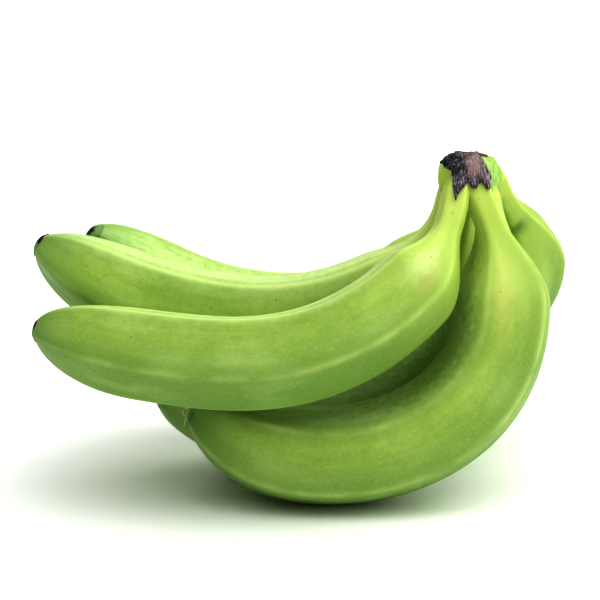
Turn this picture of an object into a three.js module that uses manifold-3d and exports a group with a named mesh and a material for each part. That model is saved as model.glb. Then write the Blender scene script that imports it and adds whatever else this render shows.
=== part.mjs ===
// A hand of green plantain: six fingers in two rows on one cut crown, lying on the bellies of the lower row.
// Millimetres. +Z is up and the floor is z = 0. The tips point along -X and the rows run back along +Y.
import * as THREE from 'three';
import { mergeVertices } from 'three/addons/utils/BufferGeometryUtils.js';
import Module from 'manifold-3d';

const wasm = await Module();
wasm.setup();

// Driving dimensions of every finger. A share is a share of the finger's length, from its root.
const NECK_RADIUS = 6.5;
const ROOT_SLIMMER = 0.3; // how much slimmer the neck is at its root, inside the crown
const ROOT_END = 0.045; // the share where it has its full width
const NECK_BEND_END = 0.28;
const BODY_BEND_START = 0.1;
const BODY_BEND_END = 0.72;
const TIP_BEND_START = 0.6;
const RETURN_MARGIN = 0.05; // the ends have no sideways bend
const THICKEST = 0.58;
const SLIMMER_AT_TIP = 0.07; // how much slimmer the body is at its ends than where it is thickest
const SLIMMER_AT_NECK = 0.05;
const SLIMMEST = 0.1;
const TIP_SHARE = 0.25; // the blunt end's radius, as a share of the body's
const TIP_START = 0.78; // where the body starts to taper to its tip
const TIP_FULLNESS = 2.2; // higher keeps the taper full for longer
const FACES = 5; // a finger has five flat faces with ridges between them
const FACE_RADIUS = 0.94; // a face's distance from the middle, as a share of the mean radius
const RIDGE_SHARPNESS = 8;
const FLOOR_CUT = 0.6; // how far a belly is pressed flat where it rests

// Where each finger leaves the crown, how its plane lies, how it bends, and its size.
// fan leans the plane back, fan_back straightens it again, and swing turns it. lean, neck_bend, body_bend and
// tip_bend turn the finger within its plane, from hanging straight down to pointing at the tip side.
const FINGERS = [
  { name: 'upper_front', root: [73, 0, 145.5], fan: -33, fan_back: -15, swing: 0, lean: 11.7, neck_bend: 25,
    body_bend: 64.2, tip_bend: 9.8, length: 243, radius: 21.2, flare: [0.104, 0.237], ridge: 57 },
  { name: 'upper_middle', root: [72, 18, 142], fan: -9, fan_back: -8, swing: 0, lean: 9, neck_bend: 46.4,
    body_bend: 48, tip_bend: 19.3, length: 236, radius: 21, flare: [0.05, 0.285], ridge: 43 },
  { name: 'upper_back', root: [82.5, 36, 143.5], fan: 22.5, fan_back: 3, swing: 4, lean: 4.6, neck_bend: 27.7,
    body_bend: 72.3, tip_bend: 37.6, length: 253.2, radius: 21.8, flare: [0.06, 0.276], ridge: 40 },
  { name: 'lower_front', root: [76.5, 3, 146], fan: -16, fan_back: -7, swing: 0, lean: -22, neck_bend: 9.3,
    body_bend: 93, tip_bend: 41.8, length: 250, radius: 22.8, flare: [0.11, 0.265], ridge: 61 },
  { name: 'lower_middle', root: [86.3, 23, 143], fan: 7, fan_back: 9.5, swing: 0, lean: -13, neck_bend: 13.4,
    body_bend: 90, tip_bend: 26.3, length: 252.8, radius: 22.5, flare: [0.059, 0.282], ridge: 50 },
  { name: 'lower_back', root: [91, 40, 144], fan: 39.3, fan_back: 31.7, swing: 0, lean: -19.6, neck_bend: -9.5,
    body_bend: 106.7, tip_bend: 37.2, length: 235, radius: 22.3, flare: [0.106, 0.305], ridge: 20 },
];
const FINGER_RINGS = 22;
const FINGER_SIDES = 20;
const PATH_STEPS = 120;
const RING_EASE = 1.25; // above 1, the rings stand closer together towards the tip

// The crown: a knobbly cushion along the line of the roots. It reaches a little way down each neck.
const CROWN_MIDDLE = new THREE.Vector3(80, 21.5, 143.5);
const CROWN_HALF = new THREE.Vector3(12, 27, 8.8);
const CROWN_TURN = -18; // degrees about the vertical, so that the cushion follows the roots
const CROWN_PITCH = -9; // degrees, so that its front end stands higher
const CROWN_BOXINESS = 3; // 2 is a plain oval, and higher is squarer
const CROWN_KNOB = 0.9; // how far its knobs stand out
const KNOB_WAVES = new THREE.Vector3(5, 7, 4); // how closely the knobs follow each other
const KNOB_STARTS = new THREE.Vector3(1, 2, 3);
const CUSHION_SIDES = 28;
const CUSHION_RINGS = 16;
const NECK_REACH = 12; // how far down a neck the crown goes
const NECK_ABOVE = 2.5; // how far a neck goes on above its root, inside the cushion
const STUB_SIDES = 20;
const STUB_RINGS = 9;
const GAP = 0.3; // between pieces that touch
const WELD = 1e-4; // corners nearer than this are one corner
const FLOOR_SLAB = new THREE.Vector3(600, 600, 40);

// A dried flower end: a thin cap. Its profile gives its half width, as a share of the finger's end, at shares of
// its thickness.
const TIP_CAP_THICKNESS = 1.4;
const TIP_CAP_PROFILE = [[0.96, 0], [0.9, 0.45], [0.55, 0.75], [0.3, 1]];
const TIP_CAP_SIDES = 12;

// The dried skins on the crown.
const DRIED_THICKNESS = 1.5;
// The flap's torn outline as seen from the front: across and up from the front of the crown.
const FLAP_OUTLINE = [
  [-4, 10.5], [-6, 7.5], [-6.8, 1], [-6, -8.5], [-4.5, -5.5], [-2, -4], [0.8, -2], [2.5, -4.8], [4.5, -4.3],
  [6.5, -1.6], [8.4, -4.3], [10, -5.5], [12, -2], [10.5, 2], [8, 7], [5, 10], [0.5, 10.5],
];
const FLAP_PLACE = new THREE.Vector3(76, 0, 146);
const FLAP_DEPTH = 40;
// The dried lump at the end of the cut, on top of the first upper neck.
const LUMP_MIDDLE = new THREE.Vector3(70.2, -2, 152.5);
const LUMP_HALF = new THREE.Vector3(5.5, 5.5, 4.3);
const LUMP_CRAGS = new THREE.Vector2(0.12, 0.08); // how rough it is round it and along it
const LUMP_SIDES = 14;
const LUMP_RINGS = 10;
// The dried scab on top of the crown, where the hand was cut from its stalk: half its width and length.
const SCAB_MIDDLE = new THREE.Vector3(80, 22, 146);
const SCAB_HALF = new THREE.Vector2(7.5, 17.5);
const SCAB_RAGS = new THREE.Vector2(0.1, 0.08); // how far its edge wavers, slowly and quickly
const SCAB_CORNERS = 18;
// The dried flower thread beside the tip of the lower front finger: along, hollow side and front, from the end.
const THREAD_RADIUS = 0.6;
const THREAD_PLACES = [[1.5, 1, 7], [0.5, -3, 8.5], [-1.5, -7, 10]];
const THREAD_STEPS = 6;
const THREAD_SIDES = 6;

const GREEN = { color: 0x8fb84a, roughness: 0.45, metalness: 0 };
const CROWN_GREEN = { color: 0x86b455, roughness: 0.6, metalness: 0 };
const DRIED_BLACK = { color: 0x2a211b, roughness: 0.85, metalness: 0 };
const DRIED_PURPLE = { color: 0x5f4a52, roughness: 0.85, metalness: 0 };
const DRIED_BROWN = { color: 0x8a6a45, roughness: 0.85, metalness: 0 };
const DRIED_THREAD = { color: 0xb9a987, roughness: 0.85, metalness: 0 };

const rad = THREE.MathUtils.degToRad;

function eased(value, from, to) {
  return THREE.MathUtils.smoothstep(value, from, to);
}

// The angle of the finger from hanging, and its sideways return, at a share of its length.
function bendAt(finger, share) {
  const neck = finger.neck_bend * eased(share, 0, NECK_BEND_END);
  const body = finger.body_bend * eased(share, BODY_BEND_START, BODY_BEND_END);
  const tip = finger.tip_bend * eased(share, TIP_BEND_START, 1);
  return rad(finger.lean + neck + body + tip);
}

function returnAt(finger, share) {
  return rad(finger.fan_back * eased(share, RETURN_MARGIN, 1 - RETURN_MARGIN));
}

// The fixed axes of a finger's plane: down along it, across it towards the tips, and out of it to the front.
function planeOf(finger) {
  const down = new THREE.Vector3(0, Math.sin(rad(finger.fan)), -Math.cos(rad(finger.fan)));
  const across = new THREE.Vector3(-Math.cos(rad(finger.swing)), Math.sin(rad(finger.swing)), 0);
  across.addScaledVector(down, -across.dot(down)).normalize();
  return { down, across, front: new THREE.Vector3().crossVectors(across, down) };
}

// The local axes at a share of the length: along the finger, to its hollow side and to its front side.
function axesAt(finger, plane, share) {
  const bend = bendAt(finger, share);
  const back = returnAt(finger, share);
  const sine = Math.sin(bend);
  const cosine = Math.cos(bend);
  const inPlane = plane.across.clone().multiplyScalar(sine).addScaledVector(plane.down, cosine);
  const hollow = plane.across.clone().multiplyScalar(cosine).addScaledVector(plane.down, -sine);
  const along = inPlane.clone().multiplyScalar(Math.cos(back)).addScaledVector(plane.front, Math.sin(back));
  const front = plane.front.clone().multiplyScalar(Math.cos(back)).addScaledVector(inPlane, -Math.sin(back));
  return { along, hollow, front };
}

// The middle line of a finger, walked in small steps from its root.
function middleLine(finger) {
  const plane = planeOf(finger);
  const step = finger.length / PATH_STEPS;
  const points = [new THREE.Vector3(...finger.root)];
  for (let i = 0; i < PATH_STEPS; i++) {
    const axes = axesAt(finger, plane, (i + 0.5) / PATH_STEPS);
    points.push(points[i].clone().addScaledVector(axes.along, step));
  }
  return { plane, points };
}

function pointOn(line, share) {
  const place = THREE.MathUtils.clamp(share, 0, 1) * PATH_STEPS;
  const before = Math.min(Math.floor(place), PATH_STEPS - 1);
  return line.points[before].clone().lerp(line.points[before + 1], place - before);
}

// The mean radius: a narrow neck, a flare into the body, and a blunt rounded end.
function radiusAt(finger, share) {
  const neck = NECK_RADIUS * (1 - ROOT_SLIMMER * (1 - eased(share, 0, ROOT_END)));
  const towardTip = Math.max((share - THICKEST) / (1 - THICKEST), 0);
  const towardNeck = Math.max((THICKEST - share) / (THICKEST - NECK_BEND_END), 0);
  const slimmer = SLIMMER_AT_TIP * towardTip ** 2 + SLIMMER_AT_NECK * towardNeck ** 2;
  const body = finger.radius * (1 - Math.min(slimmer, SLIMMEST));
  const plain = neck + (body - neck) * eased(share, finger.flare[0], finger.flare[1]);
  const end = Math.max((share - TIP_START) / (1 - TIP_START), 0);
  const round = 1 - Math.min(end, 1) ** TIP_FULLNESS;
  return plain * Math.sqrt(TIP_SHARE ** 2 + (1 - TIP_SHARE ** 2) * round);
}

// Five rounded faces: the share of the mean radius at an angle from the hollow side towards the front.
function sectionAt(finger, angle) {
  let sum = 0;
  for (let face = 0; face < FACES; face++) {
    const middle = rad(finger.ridge + (face + 0.5) * (360 / FACES));
    sum += Math.max(Math.cos(angle - middle), 0) ** RIDGE_SHARPNESS;
  }
  return FACE_RADIUS * sum ** (-1 / RIDGE_SHARPNESS);
}

// Moves a straight turned shape, whose height is the place along the finger, onto the finger's middle line.
function bendOnto(geometry, finger, line) {
  const position = geometry.attributes.position;
  const point = new THREE.Vector3();
  for (let i = 0; i < position.count; i++) {
    point.fromBufferAttribute(position, i);
    const share = point.y / finger.length;
    const angle = Math.atan2(-point.x, point.z);
    const radius = Math.hypot(point.x, point.z) * sectionAt(finger, angle);
    const axes = axesAt(finger, line.plane, THREE.MathUtils.clamp(share, 0, 1));
    const beyond = Math.max(point.y - finger.length, 0) + Math.min(point.y, 0);
    point.copy(pointOn(line, share)).addScaledVector(axes.along, beyond);
    point.addScaledVector(axes.hollow, radius * Math.cos(angle));
    point.addScaledVector(axes.front, radius * Math.sin(angle));
    position.setXYZ(i, point.x, point.y, point.z);
  }
  return geometry;
}

// A turned shape between two shares of the finger's length, closed at both ends, and thicker by extra.
function fingerStretch(finger, line, from, to, rings, sides, extra = 0) {
  const profile = [new THREE.Vector2(0, from * finger.length)];
  for (let i = 0; i <= rings; i++) {
    const share = from + (to - from) * (1 - (1 - i / rings) ** RING_EASE);
    profile.push(new THREE.Vector2(radiusAt(finger, share) + extra, share * finger.length));
  }
  profile.push(new THREE.Vector2(0, to * finger.length));
  return bendOnto(new THREE.LatheGeometry(profile, sides), finger, line);
}

function bodyOf(finger, line) {
  return fingerStretch(finger, line, NECK_REACH / finger.length, 1, FINGER_RINGS, FINGER_SIDES);
}

// Lowers or lifts a lower finger's root so that its belly is pressed FLOOR_CUT into the floor.
function settled(finger) {
  if (!finger.name.startsWith('lower')) {
    return finger;
  }
  const line = middleLine(finger);
  const body = bodyOf(finger, line);
  body.computeBoundingBox();
  const [x, y, z] = finger.root;
  return { ...finger, root: [x, y, z - body.boundingBox.min.z - FLOOR_CUT] };
}

function solidOf(geometry) {
  const bare = geometry.clone();
  bare.deleteAttribute('normal');
  bare.deleteAttribute('uv');
  const merged = mergeVertices(bare, WELD);
  const vertProperties = new Float32Array(merged.attributes.position.array);
  const triVerts = new Uint32Array(merged.index.array);
  return new wasm.Manifold(new wasm.Mesh({ numProp: 3, vertProperties, triVerts }));
}

function geometryOf(solid) {
  const mesh = solid.getMesh();
  const geometry = new THREE.BufferGeometry();
  geometry.setAttribute('position', new THREE.BufferAttribute(new Float32Array(mesh.vertProperties), 3));
  geometry.setIndex(new THREE.BufferAttribute(new Uint32Array(mesh.triVerts), 1));
  geometry.computeVertexNormals();
  return geometry;
}

function namedMesh(name, geometry, look) {
  const mesh = new THREE.Mesh(geometry, new THREE.MeshStandardMaterial(look));
  mesh.name = name;
  return mesh;
}

// What lies under the floor, to trim the bellies flat.
function underFloor() {
  const slab = new THREE.BoxGeometry(FLOOR_SLAB.x, FLOOR_SLAB.y, FLOOR_SLAB.z);
  slab.translate(0, 0, -FLOOR_SLAB.z / 2);
  return solidOf(slab);
}

// A finger is trimmed flat at the floor, and kept clear of the cushion and of the tops of the other necks.
function fingerMesh(fingers, lines, own, floor) {
  const isOther = (_, i) => i !== own;
  const others = crownSolid(fingers.filter(isOther), lines.filter(isOther), GAP, NECK_REACH);
  const solid = solidOf(bodyOf(fingers[own], lines[own])).subtract(floor).subtract(others);
  return namedMesh(`finger_${fingers[own].name}`, geometryOf(solid), GREEN);
}

// The dried black flower end: a thin blunt cap on the flat end of the finger.
function tipMesh(finger, line) {
  const start = finger.length + GAP;
  const width = radiusAt(finger, 1);
  const corners = TIP_CAP_PROFILE.map(([wide, high]) => (
    new THREE.Vector2(width * wide, start + TIP_CAP_THICKNESS * high)));
  const profile = [new THREE.Vector2(0, start), ...corners, new THREE.Vector2(0, start + TIP_CAP_THICKNESS)];
  const cap = bendOnto(new THREE.LatheGeometry(profile, TIP_CAP_SIDES), finger, line);
  return namedMesh(`tip_${finger.name}`, geometryOf(solidOf(cap)), DRIED_BLACK);
}

// A knob pattern for the cushion, from its direction.
function knobAt(direction) {
  const phase = direction.clone().multiply(KNOB_WAVES).add(KNOB_STARTS);
  return CROWN_KNOB * Math.sin(phase.x) * Math.sin(phase.y) * Math.sin(phase.z);
}

function cushionGeometry(extra) {
  const cushion = new THREE.SphereGeometry(1, CUSHION_SIDES, CUSHION_RINGS);
  const half = CROWN_HALF.clone().addScalar(extra);
  const position = cushion.attributes.position;
  const point = new THREE.Vector3();
  for (let i = 0; i < position.count; i++) {
    point.fromBufferAttribute(position, i).normalize();
    const knob = knobAt(point);
    const parts = point.toArray().map((part) => Math.abs(part) ** CROWN_BOXINESS);
    const boxy = (parts[0] + parts[1] + parts[2]) ** (-1 / CROWN_BOXINESS);
    point.multiply(half).multiplyScalar(boxy + knob / CROWN_HALF.x);
    position.setXYZ(i, point.x, point.y, point.z);
  }
  cushion.rotateX(rad(CROWN_PITCH));
  cushion.rotateZ(rad(CROWN_TURN));
  cushion.translate(CROWN_MIDDLE.x, CROWN_MIDDLE.y, CROWN_MIDDLE.z);
  return cushion;
}

// The cushion with the top of every neck, all thicker by extra, down to a distance from the roots.
function crownSolid(fingers, lines, extra, reach) {
  let solid = solidOf(cushionGeometry(extra));
  fingers.forEach((finger, i) => {
    const from = -NECK_ABOVE / finger.length;
    const to = reach / finger.length;
    solid = solid.add(solidOf(fingerStretch(finger, lines[i], from, to, STUB_RINGS, STUB_SIDES, extra)));
  });
  return solid;
}

// A thin dried skin over the crown and the tops of its necks, within a prism.
function driedSkin(fingers, lines, prism) {
  const reach = NECK_REACH * 2;
  const inner = crownSolid(fingers, lines, GAP, reach);
  const outer = crownSolid(fingers, lines, GAP + DRIED_THICKNESS, reach);
  return solidOf(prism).intersect(outer).subtract(inner);
}

function lumpSolid(extra) {
  const lump = new THREE.SphereGeometry(1, LUMP_SIDES, LUMP_RINGS);
  const half = LUMP_HALF.clone().addScalar(extra);
  const position = lump.attributes.position;
  const point = new THREE.Vector3();
  for (let i = 0; i < position.count; i++) {
    point.fromBufferAttribute(position, i).normalize();
    const round = LUMP_CRAGS.x * Math.sin(6 * point.x + 2) * Math.cos(5 * point.z);
    const along = LUMP_CRAGS.y * Math.sin(9 * point.y);
    point.multiply(half).multiplyScalar(1 + round + along);
    position.setXYZ(i, point.x, point.y, point.z);
  }
  lump.translate(LUMP_MIDDLE.x, LUMP_MIDDLE.y, LUMP_MIDDLE.z);
  return solidOf(lump);
}

// The torn dried flap lies over the front of the crown and the first two necks.
function flapMesh(fingers, lines) {
  const outline = new THREE.Shape(FLAP_OUTLINE.map(([x, z]) => new THREE.Vector2(x, z)));
  const prism = new THREE.ExtrudeGeometry(outline, { depth: FLAP_DEPTH, bevelEnabled: false });
  prism.rotateX(rad(90));
  prism.translate(FLAP_PLACE.x, FLAP_PLACE.y, FLAP_PLACE.z);
  const flap = driedSkin(fingers, lines, prism).subtract(lumpSolid(GAP));
  return namedMesh('crown_flap', geometryOf(largestPiece(flap)), DRIED_PURPLE);
}

function scabMesh(fingers, lines) {
  const corners = [];
  for (let i = 0; i < SCAB_CORNERS; i++) {
    const turn = (i / SCAB_CORNERS) * Math.PI * 2;
    const ragged = 1 + SCAB_RAGS.x * Math.sin(3 * turn + 1) + SCAB_RAGS.y * Math.sin(7 * turn);
    corners.push(new THREE.Vector2(Math.cos(turn), Math.sin(turn)).multiply(SCAB_HALF).multiplyScalar(ragged));
  }
  const prism = new THREE.ExtrudeGeometry(new THREE.Shape(corners), { depth: FLAP_DEPTH, bevelEnabled: false });
  prism.rotateZ(rad(CROWN_TURN));
  prism.translate(SCAB_MIDDLE.x, SCAB_MIDDLE.y, SCAB_MIDDLE.z);
  const scab = driedSkin(fingers, lines, prism).subtract(lumpSolid(GAP));
  return namedMesh('crown_scab', geometryOf(largestPiece(scab)), DRIED_BROWN);
}

function lumpMesh(fingers, lines) {
  const lump = lumpSolid(0).subtract(crownSolid(fingers, lines, GAP, NECK_REACH));
  return namedMesh('crown_lump', geometryOf(largestPiece(lump)), DRIED_BLACK);
}

// A cut can leave scraps, so the largest piece is kept.
function largestPiece(solid) {
  return solid.decompose().reduce((best, piece) => (piece.volume() > best.volume() ? piece : best));
}

function threadMesh(finger, line) {
  const axes = axesAt(finger, line.plane, 1);
  const end = pointOn(line, 1);
  const places = THREAD_PLACES.map(([along, hollow, front]) => {
    const place = end.clone().addScaledVector(axes.along, along);
    return place.addScaledVector(axes.hollow, hollow).addScaledVector(axes.front, front);
  });
  const section = [];
  for (let i = 0; i < THREAD_SIDES; i++) {
    const turn = (i / THREAD_SIDES) * Math.PI * 2;
    section.push(new THREE.Vector2(Math.cos(turn), Math.sin(turn)).multiplyScalar(THREAD_RADIUS));
  }
  const extrudePath = new THREE.CatmullRomCurve3(places);
  const thread = new THREE.ExtrudeGeometry(new THREE.Shape(section), { steps: THREAD_STEPS, extrudePath });
  return namedMesh('flower_thread', geometryOf(solidOf(thread)), DRIED_THREAD);
}

const fingers = FINGERS.map(settled);
const lines = fingers.map(middleLine);
const floor = underFloor();
const hand = new THREE.Group();
const crown = crownSolid(fingers, lines, 0, NECK_REACH - GAP);
hand.add(namedMesh('crown', geometryOf(crown), CROWN_GREEN));
hand.add(flapMesh(fingers, lines));
hand.add(scabMesh(fingers, lines));
hand.add(lumpMesh(fingers, lines));
fingers.forEach((finger, i) => {
  hand.add(fingerMesh(fingers, lines, i, floor));
  hand.add(tipMesh(finger, lines[i]));
  if (finger.name === 'lower_front') {
    hand.add(threadMesh(finger, lines[i]));
  }
});

// The origin is the middle of the hand's box, on the floor.
const box = new THREE.Box3().setFromObject(hand);
const middle = box.getCenter(new THREE.Vector3());
hand.position.set(-middle.x, -middle.y, 0);

export default hand;
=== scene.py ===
"""A hand of six green plantains on one cut crown, lying on the bellies of its lower row.

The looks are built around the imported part, in the part's own frame. Sizes in this file are in millimetres
unless a name says otherwise, and MM turns them into Blender's metres.
"""

import math

import bpy
import numpy as np
from mathutils import Matrix, Vector
from mathutils.bvhtree import BVHTree
from mathutils.geometry import delaunay_2d_cdt


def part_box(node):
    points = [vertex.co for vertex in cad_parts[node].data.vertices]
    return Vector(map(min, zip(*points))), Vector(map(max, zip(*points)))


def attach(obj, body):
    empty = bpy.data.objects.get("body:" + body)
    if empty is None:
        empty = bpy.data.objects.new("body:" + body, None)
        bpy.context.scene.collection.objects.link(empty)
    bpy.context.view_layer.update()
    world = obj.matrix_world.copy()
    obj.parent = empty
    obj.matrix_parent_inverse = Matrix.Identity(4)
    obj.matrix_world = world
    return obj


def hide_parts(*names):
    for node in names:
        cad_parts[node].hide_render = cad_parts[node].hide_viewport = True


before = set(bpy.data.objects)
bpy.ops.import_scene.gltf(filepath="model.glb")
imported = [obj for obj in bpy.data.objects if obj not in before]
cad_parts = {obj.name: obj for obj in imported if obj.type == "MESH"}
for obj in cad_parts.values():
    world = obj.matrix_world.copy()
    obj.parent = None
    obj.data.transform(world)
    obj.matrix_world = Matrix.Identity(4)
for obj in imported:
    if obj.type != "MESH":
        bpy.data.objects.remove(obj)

bl_info = {
    "name": "Plantain Hand",
    "version": (1, 0, 0),
    "blender": (4, 5, 0),
    "location": "View3D > Sidebar > Plantain",
    "description": "Builds a hand of green plantains around its packed part",
    "category": "Add Mesh",
}

MM = 0.001
BODY = "root"

# The driving dimensions of a finger, as in the part. A share is a share of a finger's length, from its root.
NECK_RADIUS = 6.5
ROOT_SLIMMER = 0.3
ROOT_END = 0.045
NECK_BEND_END = 0.28
BODY_BEND_START = 0.1
BODY_BEND_END = 0.72
TIP_BEND_START = 0.6
RETURN_MARGIN = 0.05
THICKEST = 0.58
SLIMMER_AT_TIP = 0.07
SLIMMER_AT_NECK = 0.05
SLIMMEST = 0.1
TIP_SHARE = 0.25
TIP_START = 0.78
TIP_FULLNESS = 2.2
FACES = 5
FACE_RADIUS = 0.94
RIDGE_SHARPNESS = 8
FLOOR_CUT = 0.6
PATH_STEPS = 120
NECK_REACH = 12
SOLID_RINGS = 22
SOLID_SIDES = 20
RING_EASE = 1.25

# Each finger: where it leaves the crown, how its plane lies, how it bends, and its size, as in the part.
FINGERS = [
    dict(name="upper_front", root=(73, 0, 145.5), fan=-33, fan_back=-15, swing=0, lean=11.7, neck_bend=25,
         body_bend=64.2, tip_bend=9.8, length=243, radius=21.2, flare=(0.104, 0.237), ridge=57),
    dict(name="upper_middle", root=(72, 18, 142), fan=-9, fan_back=-8, swing=0, lean=9, neck_bend=46.4,
         body_bend=48, tip_bend=19.3, length=236, radius=21, flare=(0.05, 0.285), ridge=43),
    dict(name="upper_back", root=(82.5, 36, 143.5), fan=22.5, fan_back=3, swing=4, lean=4.6, neck_bend=27.7,
         body_bend=72.3, tip_bend=37.6, length=253.2, radius=21.8, flare=(0.06, 0.276), ridge=40),
    dict(name="lower_front", root=(76.5, 3, 146), fan=-16, fan_back=-7, swing=0, lean=-22, neck_bend=9.3,
         body_bend=93, tip_bend=41.8, length=250, radius=22.8, flare=(0.11, 0.265), ridge=61),
    dict(name="lower_middle", root=(86.3, 23, 143), fan=7, fan_back=9.5, swing=0, lean=-13, neck_bend=13.4,
         body_bend=90, tip_bend=26.3, length=252.8, radius=22.5, flare=(0.059, 0.282), ridge=50),
    dict(name="lower_back", root=(91, 40, 144), fan=39.3, fan_back=31.7, swing=0, lean=-19.6, neck_bend=-9.5,
         body_bend=106.7, tip_bend=37.2, length=235, radius=22.3, flare=(0.106, 0.305), ridge=20),
]

# The crown, as in the part.
CROWN_MIDDLE = np.array((80, 21.5, 143.5))
CROWN_HALF = np.array((12, 27, 8.8))
CROWN_TURN = -18
CROWN_PITCH = -9
CROWN_BOXINESS = 3
CROWN_KNOB = 0.9
CROWN_AXES = np.array(Matrix.Rotation(math.radians(CROWN_TURN), 3, "Z")
                      @ Matrix.Rotation(math.radians(CROWN_PITCH), 3, "X"))
NECK_ABOVE = 2.5

# Looks.
SKIN_RINGS = 190
SKIN_SIDES = 160
SKIN_START = 5  # where a finger's skin starts, inside the crown's sleeve
SLEEVE_END = 15  # where a sleeve of the crown dips under the finger's skin
SLEEVE_EXTRA = 0.5
SLEEVE_PLACES = [-NECK_ABOVE, 0, 2, 4, 7, 9.5, 12, SLEEVE_END]
SLEEVE_DIP = 0.6  # how far under the finger's skin a sleeve ends
CUSHION_RINGS = 24
CUSHION_SIDES = 48
CUSHION_REACH = 0.98
CROWN_VOXEL = 0.55  # how fine the crown's skin is
CROWN_SOFTNESS = 0.5
CROWN_SOFT_PASSES = 8
BODY_SKIN = (0.12, 0.3)  # the shares between which the neck's even skin turns into the body's
RIDGES_END = (0.98, 0.85)  # the shares between which the beads fade at the tip
BEAD_NARROWNESS = 30
DIP_SCALE = 45
DIP_STRETCH = (1.0, 1.0, 0.4)
CREASE_SPREAD = 0.012  # how broad a crease is along a finger, as a share of its length
CREASE_NARROWNESS = 6  # how fast it fades round the finger
FIBRE_POINTS = 6
FIBRE_SIDES = 4
FIBRE_BOW = 0.35
FIBRE_LIFT = 0.05
FIBRE_SWAY = 0.35  # radians to either side
FIBRE_LENGTHS = (0.4, 1.1)  # the shortest and the longest, as shares of the user's length
GIRTH = 20  # the radius at which the skin is unrolled, for its patterns


def linear(code):
    """The linear colour of an sRGB hex code."""
    parts = [int(code[i:i + 2], 16) / 255 for i in (1, 3, 5)]
    return tuple(p / 12.92 if p <= 0.04045 else ((p + 0.055) / 1.055) ** 2.4 for p in parts)


def rgba(colour):
    """A colour with full alpha, for a socket."""
    return (*colour, 1.0)


def colour_property(name, description, code):
    """A user's colour with its default."""
    return bpy.props.FloatVectorProperty(
        name=name, description=description, subtype="COLOR", size=3, min=0, max=1, default=linear(code))


def length_property(name, description, millimetres):
    """A user's length with its default."""
    return bpy.props.FloatProperty(
        name=name, description=description, subtype="DISTANCE", unit="LENGTH", min=0,
        default=millimetres * MM)


class PlantainSizes(bpy.types.PropertyGroup):
    """Sizes of the looks that the part's solids leave open."""
    bead: length_property("Ridge Bead", "How far the line along each ridge stands out", 0.2)
    unevenness: length_property("Unevenness", "How far the skin dips along a finger", 1.2)
    crease: length_property("Shoulder Crease", "How deep the fold in the back finger's shoulder is", 1.6)
    crown_knobs: length_property("Crown Knobs", "How far the knobs of the crown stand out", 1.1)
    flap_folds: length_property("Flap Folds", "How deep the folds of the dried flap are", 0.9)
    flap_thickness: length_property("Flap Thickness", "How thick the dried flap is", 0.7)
    crags: length_property("Crags", "How rough the dried lump is", 2.4)
    fibre_length: length_property("Fibre Length", "How long the dried fibres on the flap are", 3.4)
    fibre_radius: length_property("Fibre Radius", "How thick the dried fibres are", 0.07)


class PlantainColours(bpy.types.PropertyGroup):
    """Colours of the skin and of the dried pieces."""
    skin: colour_property("Skin", "The faces of a finger", "#B3CC6C")
    # Belly and hollow are partly painted light: a darker, bluer underside and a paler upper side.
    belly: colour_property("Belly", "The outer side of a finger", "#88A95A")
    hollow: colour_property("Hollow", "The hollow side of a finger, where it starts to turn", "#D4E8A2")
    neck: colour_property("Neck", "The necks near the crown", "#D4E57E")
    ridge: colour_property("Ridge", "The pale line along a ridge", "#DAEEA8")
    streak: colour_property("Streak", "Darker streaks along a finger", "#8EAE52")
    crown: colour_property("Crown", "The crown's green cushion", "#B2D478")
    dried_dark: colour_property("Dried Dark", "The darkest dried skin", "#2E272A")
    dried_plum: colour_property("Dried Plum", "The dried flap", "#675C6B")
    dried_tan: colour_property("Dried Tan", "The flap's pale fibres", "#DCC8CA")
    dried_cork: colour_property("Dried Cork", "The scab on the cut", "#9C7A50")
    thread: colour_property("Thread", "The dried flower thread", "#D8E2B0")
    floor: colour_property("Floor", "The studio floor", "#FFFFFF")


def eased(value, start, end):
    """A smooth step from 0 at start to 1 at end."""
    t = np.clip((np.asarray(value, float) - start) / (end - start), 0, 1)
    return t * t * (3 - 2 * t)


def plane_of(finger):
    """A finger's plane: down along it, across it towards the tips, and out of it to the front."""
    fan = math.radians(finger["fan"])
    swing = math.radians(finger["swing"])
    down = np.array((0, math.sin(fan), -math.cos(fan)))
    across = np.array((-math.cos(swing), math.sin(swing), 0))
    across = across - across.dot(down) * down
    across /= np.linalg.norm(across)
    return down, across, np.cross(across, down)


def axes_at(finger, share):
    """The axes along a finger, to its hollow side and to its front, at shares of its length."""
    share = np.clip(np.atleast_1d(share), 0, 1)
    down, across, out = plane_of(finger)
    neck = finger["neck_bend"] * eased(share, 0, NECK_BEND_END)
    body = finger["body_bend"] * eased(share, BODY_BEND_START, BODY_BEND_END)
    tip = finger["tip_bend"] * eased(share, TIP_BEND_START, 1)
    bend = np.radians(finger["lean"] + neck + body + tip)[:, None]
    back = np.radians(finger["fan_back"] * eased(share, RETURN_MARGIN, 1 - RETURN_MARGIN))[:, None]
    in_plane = across * np.sin(bend) + down * np.cos(bend)
    hollow = across * np.cos(bend) - down * np.sin(bend)
    along = in_plane * np.cos(back) + out * np.sin(back)
    front = out * np.cos(back) - in_plane * np.sin(back)
    return along, hollow, front


def point_on(finger, share):
    """Points of a finger's middle line, also a little beyond its ends."""
    steps = (np.arange(PATH_STEPS) + 0.5) / PATH_STEPS
    walk = np.cumsum(axes_at(finger, steps)[0] * finger["length"] / PATH_STEPS, axis=0)
    line = np.vstack((np.zeros(3), walk)) + finger["root"]
    share = np.atleast_1d(share)
    places = np.clip(share, 0, 1) * PATH_STEPS
    points = np.column_stack([np.interp(places, np.arange(PATH_STEPS + 1), line[:, k]) for k in range(3)])
    beyond = (np.maximum(share - 1, 0) + np.minimum(share, 0)) * finger["length"]
    return points + axes_at(finger, share)[0] * beyond[:, None]


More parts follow.
